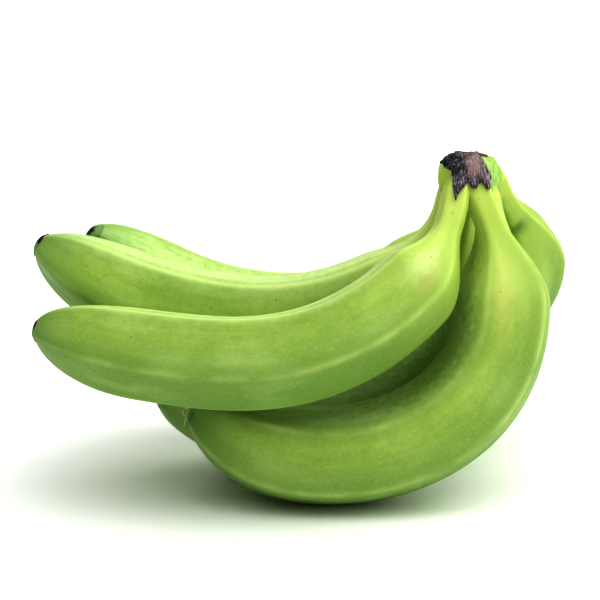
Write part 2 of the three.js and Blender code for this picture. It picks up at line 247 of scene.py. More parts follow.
def radius_at(finger, share):
    """The mean radius: a narrow neck, a flare into the body, and a blunt rounded end."""
    share = np.atleast_1d(share)
    neck = NECK_RADIUS * (1 - ROOT_SLIMMER * (1 - eased(share, 0, ROOT_END)))
    toward_tip = np.maximum((share - THICKEST) / (1 - THICKEST), 0)
    toward_neck = np.maximum((THICKEST - share) / (THICKEST - NECK_BEND_END), 0)
    slimmer = SLIMMER_AT_TIP * toward_tip ** 2 + SLIMMER_AT_NECK * toward_neck ** 2
    body = finger["radius"] * (1 - np.minimum(slimmer, SLIMMEST))
    plain = neck + (body - neck) * eased(share, *finger["flare"])
    end = np.clip((share - TIP_START) / (1 - TIP_START), 0, 1)
    rounded = 1 - end ** TIP_FULLNESS
    return plain * np.sqrt(TIP_SHARE ** 2 + (1 - TIP_SHARE ** 2) * rounded)


def section_at(finger, angle):
    """Five rounded faces: the share of the mean radius at an angle from the hollow side to the front."""
    total = 0
    for face in range(FACES):
        middle = math.radians(finger["ridge"] + (face + 0.5) * 360 / FACES)
        total = total + np.maximum(np.cos(angle - middle), 0) ** RIDGE_SHARPNESS
    return FACE_RADIUS * total ** (-1 / RIDGE_SHARPNESS)


def skin_points(finger, share, angle, radius):
    """Points around a finger: one row for each share, with its radius, and one column for each angle."""
    _, hollow, front = axes_at(finger, share)
    reach = (np.atleast_1d(radius)[:, None] * section_at(finger, angle)[None, :])[..., None]
    across, ahead = np.cos(angle)[None, :, None], np.sin(angle)[None, :, None]
    radial = across * hollow[:, None, :] + ahead * front[:, None, :]
    return point_on(finger, share)[:, None, :] + reach * radial


def solid_corners(finger):
    """The corners of the finger's solid in the part, before anything is cut from it."""
    start = NECK_REACH / finger["length"]
    share = start + (1 - start) * (1 - (1 - np.arange(SOLID_RINGS + 1) / SOLID_RINGS) ** RING_EASE)
    angle = np.arange(SOLID_SIDES) * 2 * math.pi / SOLID_SIDES
    return skin_points(finger, share, angle, radius_at(finger, share)).reshape(-1, 3)


def settle(fingers):
    """Lowers each lower finger's root until its belly is pressed flat on the floor, as in the part."""
    for finger in fingers:
        if finger["name"].startswith("lower"):
            x, y, z = finger["root"]
            finger["root"] = (x, y, z - solid_corners(finger)[:, 2].min() - FLOOR_CUT)


def hand_shift(finger):
    """How far the part stands from the drawing's own origin, from where one of its fingers is."""
    low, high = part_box("finger_" + finger["name"])
    corners = solid_corners(finger)
    return np.array((low[0] / MM - corners[:, 0].min(), high[1] / MM - corners[:, 1].max(), 0))


settle(FINGERS)
SHIFT = hand_shift(FINGERS[2])
BY_NAME = {finger["name"]: finger for finger in FINGERS}


def placed(points):
    """Points of the drawing, in millimetres, as points of the part's frame, in metres."""
    return (np.asarray(points, float) + SHIFT) * MM


def add(tree, kind, links=None, **settings):
    """Adds a node with its settings, and sets or links its inputs by name or by place among the shown."""
    node = tree.nodes.new(kind)
    for name, value in settings.items():
        setattr(node, name, value)
    shown = [socket for socket in node.inputs if socket.enabled]
    for key, value in (links or {}).items():
        socket = shown[key] if isinstance(key, int) else next(s for s in shown if s.name == key)
        if isinstance(value, bpy.types.Node):
            value = next(s for s in value.outputs if s.enabled)
        if isinstance(value, bpy.types.NodeSocket):
            tree.links.new(value, socket)
        else:
            socket.default_value = value
    return node


def new_object(name, mesh):
    """A new object of the scene."""
    piece = bpy.data.objects.new(name, mesh)
    bpy.context.scene.collection.objects.link(piece)
    return piece


def mesh_from(name, points, faces=(), edges=()):
    """A mesh from points in metres."""
    mesh = bpy.data.meshes.new(name)
    mesh.from_pydata([tuple(p) for p in points], list(edges), [tuple(f) for f in faces])
    mesh.update()
    return mesh


def set_attribute(mesh, name, kind, values):
    """Stores one value for each point of a mesh."""
    attribute = mesh.attributes.new(name, kind, "POINT")
    key = "vector" if kind == "FLOAT_VECTOR" else "value"
    attribute.data.foreach_set(key, np.asarray(values, np.float32).ravel())


def made_plain(piece):
    """Turns an object's modifiers into a plain mesh."""
    depsgraph = bpy.context.evaluated_depsgraph_get()
    mesh = bpy.data.meshes.new_from_object(piece.evaluated_get(depsgraph), depsgraph=depsgraph)
    piece.modifiers.clear()
    old = piece.data
    piece.data = mesh
    mesh.name = piece.name
    bpy.data.meshes.remove(old)
    return piece


def with_tree(piece, tree, values):
    """Runs a geometry tree on an object, with its inputs by name, and keeps the result as a plain mesh."""
    modifier = piece.modifiers.new(tree.name, "NODES")
    modifier.node_group = tree
    for item in tree.interface.items_tree:
        if item.in_out == "INPUT" and item.name in values:
            modifier[item.identifier] = values[item.name]
    return made_plain(piece)


def finish_piece(piece, node):
    """Says what a finished piece rides on, and hides the part that it stands for."""
    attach(piece, BODY)
    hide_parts(node)
    return piece


def new_tree(name, inputs):
    """A geometry tree with a geometry input and output and other named inputs."""
    tree = bpy.data.node_groups.new(name, "GeometryNodeTree")
    tree.interface.new_socket("Geometry", in_out="INPUT", socket_type="NodeSocketGeometry")
    for label, kind, default in inputs:
        socket = tree.interface.new_socket(label, in_out="INPUT", socket_type="NodeSocket" + kind)
        if default is not None:
            socket.default_value = default
    tree.interface.new_socket("Geometry", in_out="OUTPUT", socket_type="NodeSocketGeometry")
    return tree, add(tree, "NodeGroupInput")


def end_tree(tree, start, geometry):
    """Ends a geometry tree: instances made real, smooth shading and its material."""
    real = add(tree, "GeometryNodeRealizeInstances", {"Geometry": geometry})
    smooth = add(tree, "GeometryNodeSetShadeSmooth", {"Geometry": real})
    painted = add(tree, "GeometryNodeSetMaterial", {
        "Geometry": smooth, "Material": start.outputs["Material"]})
    add(tree, "NodeGroupOutput", {"Geometry": painted})


def sampled(tree, line, name, kind, ring):
    """What the line's point of this ring says, by the name of its attribute, or its position."""
    if name == "position":
        value = add(tree, "GeometryNodeInputPosition")
    else:
        value = add(tree, "GeometryNodeInputNamedAttribute", {"Name": name}, data_type=kind)
    return add(tree, "GeometryNodeSampleIndex", {"Geometry": line, "Value": value, "Index": ring},
               data_type=kind)


def finger_tree():
    """Sweeps the five-sided section of a finger along its middle line.

    The line's points carry the finger's axes, its radius and their share of its length.
    """
    tree, start = new_tree("Finger Skin", [
        ("Sides", "Int", SKIN_SIDES), ("Ridge Turn", "Float", 0.0), ("Face Radius", "Float", FACE_RADIUS),
        ("Sharpness", "Float", float(RIDGE_SHARPNESS)), ("Bead", "Float", 0.0), ("Unevenness", "Float", 0.0),
        ("Crease", "Float", 0.0), ("Crease Share", "Float", 0.0), ("Crease Turn", "Float", 0.0),
        ("Seed", "Float", 0.0), ("Material", "Material", None)])
    line = start.outputs["Geometry"]
    rings = add(tree, "GeometryNodeAttributeDomainSize", {"Geometry": line}).outputs["Point Count"]
    sides = start.outputs["Sides"]
    columns = add(tree, "FunctionNodeIntegerMath", {0: sides, 1: 1}, operation="ADD")
    grid = add(tree, "GeometryNodeMeshGrid", {"Vertices X": columns, "Vertices Y": rings})
    index = add(tree, "GeometryNodeInputIndex")
    column = add(tree, "FunctionNodeIntegerMath", {0: index, 1: rings}, operation="DIVIDE_FLOOR")
    ring = add(tree, "FunctionNodeIntegerMath", {0: index, 1: rings}, operation="MODULO")
    turn = add(tree, "ShaderNodeMath", {0: column, 1: sides}, operation="DIVIDE")
    angle = add(tree, "ShaderNodeMath", {0: turn, 1: 2 * math.pi}, operation="MULTIPLY")

    # The section: the sum over its faces, as a power mean.
    lead = add(tree, "ShaderNodeMath", {0: angle, 1: start.outputs["Ridge Turn"]}, operation="SUBTRACT")
    total = 0.0
    for face in range(FACES):
        middle_turn = (face + 0.5) * 2 * math.pi / FACES
        apart = add(tree, "ShaderNodeMath", {0: lead, 1: middle_turn}, operation="SUBTRACT")
        facing = add(tree, "ShaderNodeMath", {0: apart}, operation="COSINE")
        facing = add(tree, "ShaderNodeMath", {0: facing, 1: 0.0}, operation="MAXIMUM")
        facing = add(tree, "ShaderNodeMath", {0: facing, 1: start.outputs["Sharpness"]}, operation="POWER")
        total = add(tree, "ShaderNodeMath", {0: total, 1: facing}, operation="ADD")
    root = add(tree, "ShaderNodeMath", {0: -1.0, 1: start.outputs["Sharpness"]}, operation="DIVIDE")
    section = add(tree, "ShaderNodeMath", {0: total, 1: root}, operation="POWER")
    section = add(tree, "ShaderNodeMath", {0: section, 1: start.outputs["Face Radius"]}, operation="MULTIPLY")

    # How near a point is to a ridge: 1 on it, 0 in the middle of a face.
    fivefold = add(tree, "ShaderNodeMath", {0: lead, 1: float(FACES)}, operation="MULTIPLY")
    wave = add(tree, "ShaderNodeMath", {0: fivefold}, operation="COSINE")
    near = add(tree, "ShaderNodeMath", {0: wave, 1: 0.5, 2: 0.5}, operation="MULTIPLY_ADD")

    share, radius, walked = (
        sampled(tree, line, name, "FLOAT", ring) for name in ("share", "radius", "walked"))
    middle, hollow, front = (
        sampled(tree, line, name, "FLOAT_VECTOR", ring) for name in ("position", "hollow", "front"))
    cosine = add(tree, "ShaderNodeMath", {0: angle}, operation="COSINE")
    sine = add(tree, "ShaderNodeMath", {0: angle}, operation="SINE")

    # Places on the unrolled skin without a seam: round the finger, and along it with the seed's offset.
    far = add(tree, "ShaderNodeMath", {0: walked, 1: start.outputs["Seed"]}, operation="ADD")
    round_x = add(tree, "ShaderNodeMath", {0: cosine, 1: GIRTH * MM}, operation="MULTIPLY")
    round_y = add(tree, "ShaderNodeMath", {0: sine, 1: GIRTH * MM}, operation="MULTIPLY")
    unrolled = add(tree, "ShaderNodeCombineXYZ", {"X": round_x, "Y": round_y, "Z": far})

    # Dips, longer along the finger than round it, and none on the neck. None of them goes outwards.
    squeezed = add(tree, "ShaderNodeVectorMath", {0: unrolled, 1: DIP_STRETCH}, operation="MULTIPLY")
    dips = add(tree, "ShaderNodeTexNoise", {"Vector": squeezed, "Scale": DIP_SCALE, "Detail": 1.0})
    swell = dips.outputs["Fac"]
    grown = add(tree, "ShaderNodeMapRange", {0: share, 1: BODY_SKIN[0], 2: BODY_SKIN[1]},
                interpolation_type="SMOOTHSTEP")
    for factor in (-1.0, start.outputs["Unevenness"], grown):
        swell = add(tree, "ShaderNodeMath", {0: swell, 1: factor}, operation="MULTIPLY")

    # The bead along a ridge fades out on the neck and at the tip.
    narrow = add(tree, "ShaderNodeMath", {0: near, 1: BEAD_NARROWNESS}, operation="POWER")
    ended = add(tree, "ShaderNodeMapRange", {0: share, 1: RIDGES_END[0], 2: RIDGES_END[1]},
                interpolation_type="SMOOTHSTEP")
    bead = narrow
    for factor in (grown, ended, start.outputs["Bead"]):
        bead = add(tree, "ShaderNodeMath", {0: bead, 1: factor}, operation="MULTIPLY")

    # A crease across the shoulder, where a neck turns sharply into its body.
    off = add(tree, "ShaderNodeMath", {0: share, 1: start.outputs["Crease Share"]}, operation="SUBTRACT")
    off = add(tree, "ShaderNodeMath", {0: off, 1: CREASE_SPREAD}, operation="DIVIDE")
    off = add(tree, "ShaderNodeMath", {0: off, 1: 2.0}, operation="POWER")
    aside = add(tree, "ShaderNodeMath", {0: angle, 1: start.outputs["Crease Turn"]}, operation="SUBTRACT")
    aside = add(tree, "ShaderNodeMath", {0: aside}, operation="COSINE")
    aside = add(tree, "ShaderNodeMath", {0: aside, 1: -CREASE_NARROWNESS, 2: CREASE_NARROWNESS},
                operation="MULTIPLY_ADD")
    fall = add(tree, "ShaderNodeMath", {0: off, 1: aside}, operation="ADD")
    fall = add(tree, "ShaderNodeMath", {0: fall, 1: -1.0}, operation="MULTIPLY")
    fold = add(tree, "ShaderNodeMath", {0: fall}, operation="EXPONENT")
    crease = add(tree, "ShaderNodeMath", {0: fold, 1: start.outputs["Crease"]}, operation="MULTIPLY")

    reach = add(tree, "ShaderNodeMath", {0: radius, 1: section}, operation="MULTIPLY")
    raised = add(tree, "ShaderNodeMath", {0: bead, 1: swell}, operation="ADD")
    raised = add(tree, "ShaderNodeMath", {0: raised, 1: crease}, operation="SUBTRACT")
    # An end point of the line has no radius, and closes the skin.
    open_ring = add(tree, "ShaderNodeMath", {0: radius, 1: 0.5 * MM}, operation="GREATER_THAN")
    raised = add(tree, "ShaderNodeMath", {0: raised, 1: open_ring}, operation="MULTIPLY")
    reach = add(tree, "ShaderNodeMath", {0: reach, 1: raised}, operation="ADD")
    side = add(tree, "ShaderNodeVectorMath", {0: hollow, "Scale": cosine}, operation="SCALE")
    ahead = add(tree, "ShaderNodeVectorMath", {0: front, "Scale": sine}, operation="SCALE")
    radial = add(tree, "ShaderNodeVectorMath", {0: side, 1: ahead}, operation="ADD")
    offset = add(tree, "ShaderNodeVectorMath", {0: radial, "Scale": reach}, operation="SCALE")
    place = add(tree, "ShaderNodeVectorMath", {0: middle, 1: offset}, operation="ADD")
    place = add(tree, "ShaderNodeVectorMath", {0: place, 1: (-10.0, -10.0, 0.0)}, operation="MAXIMUM")

    skin = add(tree, "GeometryNodeSetPosition", {"Geometry": grid, "Position": place})
    for name, kind, value in (("share", "FLOAT", share), ("ridge", "FLOAT", near), ("bead", "FLOAT", narrow),
                              ("fold", "FLOAT", fold), ("inner", "FLOAT", cosine),
                              ("unrolled", "FLOAT_VECTOR", unrolled)):
        skin = add(tree, "GeometryNodeStoreNamedAttribute", {"Geometry": skin, "Name": name, "Value": value},
                   data_type=kind, domain="POINT")
    closed = add(tree, "GeometryNodeMergeByDistance", {"Geometry": skin, "Distance": 0.01 * MM})
    end_tree(tree, start, closed)
    return tree


def rough_tree():
    """Moves a surface in and out along its normal by a stretched noise, for knobs, crags and folds."""
    tree, start = new_tree("Rough Surface", [
        ("Height", "Float", 0.0), ("Scale", "Float", 100.0), ("Stretch", "Vector", (1.0, 1.0, 1.0)),
        ("Detail", "Float", 3.0), ("Roughness", "Float", 0.55), ("Seed", "Float", 0.0),
        ("Material", "Material", None)])
    place = add(tree, "GeometryNodeInputPosition")
    place = add(tree, "ShaderNodeVectorMath", {0: place, 1: start.outputs["Stretch"]}, operation="MULTIPLY")
    noise = add(tree, "ShaderNodeTexNoise", {
        "Vector": place, "W": start.outputs["Seed"], "Scale": start.outputs["Scale"],
        "Detail": start.outputs["Detail"], "Roughness": start.outputs["Roughness"]}, noise_dimensions="4D")
    centred = add(tree, "ShaderNodeMath", {0: noise.outputs[0], 1: 0.5}, operation="SUBTRACT")
    height = add(tree, "ShaderNodeMath", {0: centred, 1: start.outputs["Height"]}, operation="MULTIPLY")
    # A surface may be marked calm, where it stays smooth.
    calm = add(tree, "GeometryNodeInputNamedAttribute", {"Name": "calm"}, data_type="FLOAT")
    lively = add(tree, "ShaderNodeMath", {0: 1.0, 1: calm}, operation="SUBTRACT")
    height = add(tree, "ShaderNodeMath", {0: height, 1: lively}, operation="MULTIPLY")
    normal = add(tree, "GeometryNodeInputNormal")
    offset = add(tree, "ShaderNodeVectorMath", {0: normal.outputs[0], "Scale": height}, operation="SCALE")
    moved = add(tree, "GeometryNodeSetPosition", {"Geometry": start.outputs["Geometry"], "Offset": offset})
    end_tree(tree, start, moved)
    return tree


def fibre_tree():
    """Lays thin fibres over a surface, roughly down it, each a little bent and of its own length."""
    tree, start = new_tree("Dried Fibres", [
        ("Density", "Float", 1e6), ("Length", "Float", 0.004), ("Radius", "Float", 0.0001),
        ("Lift", "Float", 0.0002), ("Seed", "Int", 3), ("Material", "Material", None)])
    surface = start.outputs["Geometry"]
    seed = start.outputs["Seed"]
    points = add(tree, "GeometryNodeDistributePointsOnFaces", {
        "Mesh": surface, "Density": start.outputs["Density"], "Seed": seed}, distribute_method="RANDOM")
    half = add(tree, "ShaderNodeMath", {0: start.outputs["Length"], 1: 0.5}, operation="MULTIPLY")
    low = add(tree, "ShaderNodeMath", {0: half, 1: -1.0}, operation="MULTIPLY")
    top = add(tree, "ShaderNodeCombineXYZ", {"Z": half})
    bottom = add(tree, "ShaderNodeCombineXYZ", {"Z": low})
    strand = add(tree, "GeometryNodeCurvePrimitiveLine", {"Start": top, "End": bottom})
    strand = add(tree, "GeometryNodeResampleCurve", {"Curve": strand, "Count": FIBRE_POINTS})
    factor = add(tree, "GeometryNodeSplineParameter")
    bow = add(tree, "ShaderNodeMath", {0: factor.outputs["Factor"], 1: math.pi}, operation="MULTIPLY")
    bow = add(tree, "ShaderNodeMath", {0: bow}, operation="SINE")
    bow = add(tree, "ShaderNodeMath", {0: bow, 1: FIBRE_BOW * MM}, operation="MULTIPLY")
    bow = add(tree, "ShaderNodeCombineXYZ", {"X": bow})
    strand = add(tree, "GeometryNodeSetPosition", {"Geometry": strand, "Offset": bow})
    ring = add(tree, "GeometryNodeCurvePrimitiveCircle", {
        "Resolution": FIBRE_SIDES, "Radius": start.outputs["Radius"]})
    tube = add(tree, "GeometryNodeCurveToMesh", {"Curve": strand, "Profile Curve": ring, "Fill Caps": True})
    normal = points.outputs["Normal"]
    behind = add(tree, "ShaderNodeVectorMath", {0: normal, "Scale": -1.0}, operation="SCALE")
    flat = add(tree, "FunctionNodeAlignRotationToVector", {"Vector": behind}, axis="Y", pivot_axis="AUTO")
    sway = add(tree, "FunctionNodeRandomValue", {"Min": -FIBRE_SWAY, "Max": FIBRE_SWAY, "Seed": seed},
               data_type="FLOAT")
    sway = add(tree, "ShaderNodeCombineXYZ", {"Y": sway})
    sway = add(tree, "FunctionNodeEulerToRotation", {"Euler": sway})
    turned = add(tree, "FunctionNodeRotateRotation", {"Rotation": flat, "Rotate By": sway},
                 rotation_space="LOCAL")
    shortest, longest = FIBRE_LENGTHS
    size = add(tree, "FunctionNodeRandomValue", {"Min": shortest, "Max": longest, "Seed": seed},
               data_type="FLOAT")
    laid = add(tree, "GeometryNodeInstanceOnPoints", {
        "Points": points.outputs["Points"], "Instance": tube, "Rotation": turned, "Scale": size})
    lift = add(tree, "ShaderNodeVectorMath", {0: normal, "Scale": start.outputs["Lift"]}, operation="SCALE")
    raised = add(tree, "GeometryNodeSetPosition", {"Geometry": laid, "Offset": lift})
    end_tree(tree, start, raised)
    return tree


def new_material(name):
    """A material with its shader node."""
    material = bpy.data.materials.new(name)
    material.use_nodes = True
    tree = material.node_tree
    return material, tree, tree.nodes["Principled BSDF"]


def set_shader(shader, **values):
    """Sets constants on a shader's own sockets."""
    for name, value in values.items():
        shader.inputs[name.replace("_", " ")].default_value = value


def attribute_of(tree, name):
    """Reads an attribute of the mesh."""
    return add(tree, "ShaderNodeAttribute", attribute_name=name)


def patch_on(tree, unrolled, name, share, turn, half_length, half_width, amount):
    """How much of a tint lies on one place of one finger's skin: a soft patch with a wavering edge."""
    index = [finger["name"] for finger in FINGERS].index(name)
    centre = (GIRTH * MM * math.cos(math.radians(turn)), GIRTH * MM * math.sin(math.radians(turn)),
              share * FINGERS[index]["length"] * MM + index)
    shrink = (1 / (half_width * MM), 1 / (half_width * MM), 1 / (half_length * MM))
    away = add(tree, "ShaderNodeVectorMath", {0: unrolled, 1: centre}, operation="SUBTRACT")
    away = add(tree, "ShaderNodeVectorMath", {0: away, 1: shrink}, operation="MULTIPLY")
    away = add(tree, "ShaderNodeVectorMath", {0: away}, operation="LENGTH")
    waver = add(tree, "ShaderNodeTexNoise", {"Vector": unrolled, "Scale": 250.0, "Detail": 3.0})
    edge = add(tree, "ShaderNodeMath", {0: waver.outputs["Fac"], 1: 0.8, 2: away}, operation="MULTIPLY_ADD")
    return add(tree, "ShaderNodeMapRange", {0: edge, 1: 1.4, 2: 0.5, 3: 0.0, 4: amount},
               interpolation_type="SMOOTHSTEP")


def finish_surface(tree, shader, base, layers, height, strength, depth):
    """Gives the shader a base colour with tints over it, each by its own amount, and a fine relief."""
    colour = rgba(base)
    for amount, tint in layers:
        colour = add(tree, "ShaderNodeMix", {0: amount, 1: colour, 2: rgba(tint)}, data_type="RGBA")
    tree.links.new(next(s for s in colour.outputs if s.enabled), shader.inputs["Base Color"])
    bump = add(tree, "ShaderNodeBump", {"Height": height, "Strength": strength, "Distance": depth * MM})
    tree.links.new(bump.outputs["Normal"], shader.inputs["Normal"])


# Patches on the skins: the finger, its share, the turn, half the length and width, the tint and its strength.
MARKS = [
    # Where the skin starts to turn.
    ("lower_front", 0.235, 82, 26, 7, "#DDDB90", 0.4),
    ("lower_front", 0.30, 84, 16, 5, "#CEC37A", 0.2),
    ("upper_front", 0.228, 108, 12, 6, "#CFC88A", 0.35),
    # A pale patch on the front finger's shoulder: partly wax bloom, partly a painted highlight.
    ("upper_front", 0.208, 88, 20, 9, "#E0EDB0", 0.5),
    # The pale wax near a tip.
    ("upper_middle", 0.955, 134, 12, 7, "#C4DDBE", 0.5),
    # A scratch on a neck.
    ("upper_front", 0.085, 95, 1.6, 1.1, "#B87F3E", 0.6),
    # Where the skin of the back fingers starts to turn.
    ("upper_back", 0.32, 230, 22, 7, "#D3D389", 0.4),
    ("lower_middle", 0.36, 260, 26, 8, "#D3D389", 0.4),
    ("lower_back", 0.42, 290, 22, 8, "#D9D890", 0.4),
    ("lower_back", 0.30, 120, 24, 9, "#C6E08A", 0.4),
    # Deeper green on a shoulder, and painted shade on the hollow sides of the lower fingers, which lie in the
    # upper fingers' shadow.
    ("lower_back", 0.12, 85, 30, 22, "#9CBE5A", 0.8),
    ("lower_front", 0.42, 15, 90, 17, "#829E48", 0.75),
    ("lower_middle", 0.35, 40, 90, 17, "#829E48", 0.75),
]

# Patterns of the peel: how far a noise is drawn together along the finger, its scale, detail and roughness,
# its value where the tint starts and where it is full, how strong that is, and the tint.
PEEL_PATTERNS = [
    # Faint streaks a millimetre or two wide and a few centimetres long.
    (0.12, 320, 4, 0.6, 0.4, 0.75, 0.35, "streak"),
    # Mottling of a few millimetres, and a grain under a millimetre.
    (1, 230, 5, 0.7, 0.42, 0.7, 0.4, "streak"),
    (0.5, 1400, 2, 0.5, 0.5, 0.7, 0.15, "ridge"),
    # Broad paler and deeper stretches, some centimetres long.
    (0.5, 50, 3, 0.5, 0.5, 0.8, 0.35, "ridge"),
    (0.5, 50, 3, 0.5, 0.5, 0.2, 0.45, "streak"),
]
# The pale line on a ridge: partly the ridge's paler tone, partly a painted highlight.
RIDGE_LINE = "#E2F0A8"
FRECKLE = "#6F7F35"
FOLD_SHADE = "#557A2A"
DULL_END = "#7FA563"
PORE_STRETCH = (1.0, 1.0, 0.12)


def peel_material():
    """Green plantain peel: living skin with a thin wax, satin, streaked along the finger.

    The wax gives broad soft highlights. The pale ridge lines, the yellower hollow side, the bluer belly and
    the darker end keep a finger from looking like one colour of plastic. Some of this is painted light: the
    ridge lines are partly painted highlights, the paler hollow side, which faces up, is partly painted light,
    and the darker, bluer belly is partly painted shade and painted floor reflection.
    """
    colours = bpy.context.scene.plantain_colours
    material, tree, shader = new_material("Waxy green plantain peel")
    unrolled = attribute_of(tree, "unrolled").outputs["Vector"]
    share, inner, bead, ridge, fold = (
        attribute_of(tree, name).outputs["Fac"] for name in ("share", "inner", "bead", "ridge", "fold"))

    # Belly darker and bluer, hollow side paler: partly the skin's tone, partly painted shade, reflection and
    # light.
    side = add(tree, "ShaderNodeMapRange", {0: inner, 1: -0.95, 2: 0.3}, interpolation_type="SMOOTHSTEP")
    turned = add(tree, "ShaderNodeMapRange", {0: inner, 1: 0.4, 2: 0.78, 3: 0.0, 4: 0.85})
    layers = [(side, colours.skin), (turned, colours.hollow)]
    for drawn, scale, detail, roughness, start, full, strength, tint in PEEL_PATTERNS:
        place = add(tree, "ShaderNodeVectorMath", {0: unrolled, 1: (1.0, 1.0, drawn)}, operation="MULTIPLY")
        noise = add(tree, "ShaderNodeTexNoise", {
            "Vector": place, "Scale": scale, "Detail": detail, "Roughness": roughness})
        amount = add(tree, "ShaderNodeMapRange", {
            0: noise.outputs["Fac"], 1: start, 2: full, 3: 0.0, 4: strength})
        layers.append((amount, getattr(colours, tint)))
    # A darker band next to each ridge, painted shade, then a pale line on it that comes and goes along the
    # finger, partly the ridge's own paler tone and partly a painted highlight.
    painted_ridge_shade = add(tree, "ShaderNodeMapRange", {0: ridge, 1: 0.5, 2: 0.95, 3: 0.0, 4: 0.3})
    fading = add(tree, "ShaderNodeTexNoise", {"Vector": unrolled, "Scale": 40.0, "Detail": 2.0})
    fading = add(tree, "ShaderNodeMapRange", {0: fading.outputs["Fac"], 1: 0.4, 2: 0.65, 3: 0.05, 4: 0.45})
    # The ridges on the hollow side, which faces up, get the strongest line: a painted highlight.
    clear = add(tree, "ShaderNodeMapRange", {0: inner, 1: 0.49, 2: 0.56, 3: 0.0, 4: 0.5})
    fading = add(tree, "ShaderNodeMath", {0: fading, 1: clear}, operation="MAXIMUM")
    line = add(tree, "ShaderNodeMath", {0: bead, 1: fading}, operation="MULTIPLY")
    # The neck is yellower towards the crown.
    neck = add(tree, "ShaderNodeMapRange", {0: share, 1: 0.36, 2: 0.06, 3: 0.0, 4: 0.8})
    layers += [(painted_ridge_shade, colours.streak), (line, linear(RIDGE_LINE)), (neck, colours.neck)]
    for *patch, tint, amount in MARKS:
        layers.append((patch_on(tree, unrolled, *patch, amount), linear(tint)))
    # A few small dark freckles.
    freckle = add(tree, "ShaderNodeTexVoronoi", {"Vector": unrolled, "Scale": 190.0})
    lucky = add(tree, "ShaderNodeSeparateColor", {"Color": freckle.outputs["Color"]})
    lucky = add(tree, "ShaderNodeMath", {0: lucky.outputs["Red"], 1: 0.86}, operation="GREATER_THAN")
    spot = add(tree, "ShaderNodeMapRange", {0: freckle.outputs["Distance"], 1: 0.14, 2: 0.04, 3: 0.0, 4: 0.5})
    spot = add(tree, "ShaderNodeMath", {0: spot, 1: lucky}, operation="MULTIPLY")
    # Painted shade in the crease, and the skin dies back to black at the hollow side of the flower end.
    crease = add(tree, "ShaderNodeMath", {0: fold, 1: 0.7}, operation="MULTIPLY")
    dull = add(tree, "ShaderNodeMapRange", {0: share, 1: 0.88, 2: 1.0, 3: 0.0, 4: 0.6})
    ragged = add(tree, "ShaderNodeTexNoise", {"Vector": unrolled, "Scale": 300.0}).outputs["Fac"]
    edge = add(tree, "ShaderNodeMath", {0: ragged, 1: 0.012, 2: share}, operation="MULTIPLY_ADD")
    black = add(tree, "ShaderNodeMapRange", {0: edge, 1: 1.0, 2: 1.006})
    above = add(tree, "ShaderNodeMapRange", {0: inner, 1: 0.55, 2: 0.85})
    black = add(tree, "ShaderNodeMath", {0: black, 1: above}, operation="MULTIPLY")
    layers += [(spot, linear(FRECKLE)), (crease, linear(FOLD_SHADE)), (dull, linear(DULL_END)),
               (black, colours.dried_dark)]
    # Pores and fine wrinkles, about a millimetre apart.
    drawn_out = add(tree, "ShaderNodeVectorMath", {0: unrolled, 1: PORE_STRETCH}, operation="MULTIPLY")
    pores = add(tree, "ShaderNodeTexNoise", {"Vector": drawn_out, "Scale": 900.0, "Detail": 3.0})
    finish_surface(tree, shader, colours.belly, layers, pores.outputs["Fac"], 0.25, 0.2)
    set_shader(shader, Roughness=0.5, IOR=1.45, Specular_IOR_Level=0.35)
    return material


def crown_material():
    """The crown's rind: the same living skin, thicker and duller, with yellow specks and a knobbly grain."""
    colours = bpy.context.scene.plantain_colours
    material, tree, shader = new_material("Knobbly green crown rind")
    place = add(tree, "ShaderNodeTexCoord").outputs["Object"]
    neck = attribute_of(tree, "neck").outputs["Fac"]
    grain = add(tree, "ShaderNodeTexNoise", {"Vector": place, "Scale": 260.0, "Detail": 4.0})
    shade = add(tree, "ShaderNodeMapRange", {0: grain.outputs["Fac"], 1: 0.4, 2: 0.7, 3: 0.0, 4: 0.7})
    speck = add(tree, "ShaderNodeTexVoronoi", {"Vector": place, "Scale": 600.0})
    speck = add(tree, "ShaderNodeMapRange", {0: speck.outputs["Distance"], 1: 0.3, 2: 0.12, 3: 0.0, 4: 0.6})
    layers = [(shade, colours.streak), (speck, colours.ridge), (neck, colours.neck)]
    finish_surface(tree, shader, colours.crown, layers, grain.outputs["Fac"], 0.4, 0.4)
    set_shader(shader, Roughness=0.55, IOR=1.45, Specular_IOR_Level=0.35)
    return material


def dried_material(name, base, dark, pale, stretch, scale, pale_share=0.45, tints=()):
    """Dried plant skin: matt, fibrous, mottled between three colours along its grain.

    Each tint is laid over that by an attribute of the mesh, such as the black along a torn edge.
    """
    material, tree, shader = new_material(name)
    place = add(tree, "ShaderNodeTexCoord").outputs["Object"]
    place = add(tree, "ShaderNodeVectorMath", {0: place, 1: stretch}, operation="MULTIPLY")
    coarse = add(tree, "ShaderNodeTexNoise", {"Vector": place, "Scale": scale, "Detail": 3.0})
    dim = add(tree, "ShaderNodeMapRange", {0: coarse.outputs["Fac"], 1: 0.42, 2: 0.62})
    fine = add(tree, "ShaderNodeTexNoise", {
        "Vector": place, "Scale": scale * 3, "Detail": 4.0, "Roughness": 0.7})
    bright = add(tree, "ShaderNodeMapRange", {
        0: fine.outputs["Fac"], 1: 1 - pale_share, 2: 1.1 - pale_share, 3: 0.0, 4: 0.8})
    marks = [(attribute_of(tree, attribute).outputs["Fac"], linear(tint)) for attribute, tint in tints]
    layers = [(dim, dark), *marks, (bright, pale)]
    finish_surface(tree, shader, base, layers, fine.outputs["Fac"], 0.7, 0.4)
    set_shader(shader, Roughness=0.8, IOR=1.45, Specular_IOR_Level=0.3)
    return material


def plain_material(name, colour, roughness):
    """One even colour, for the floor and for threads too thin to show a pattern."""
    material, _, shader = new_material(name)
    set_shader(shader, Base_Color=rgba(colour), Roughness=roughness, Specular_IOR_Level=0.3)
    return material


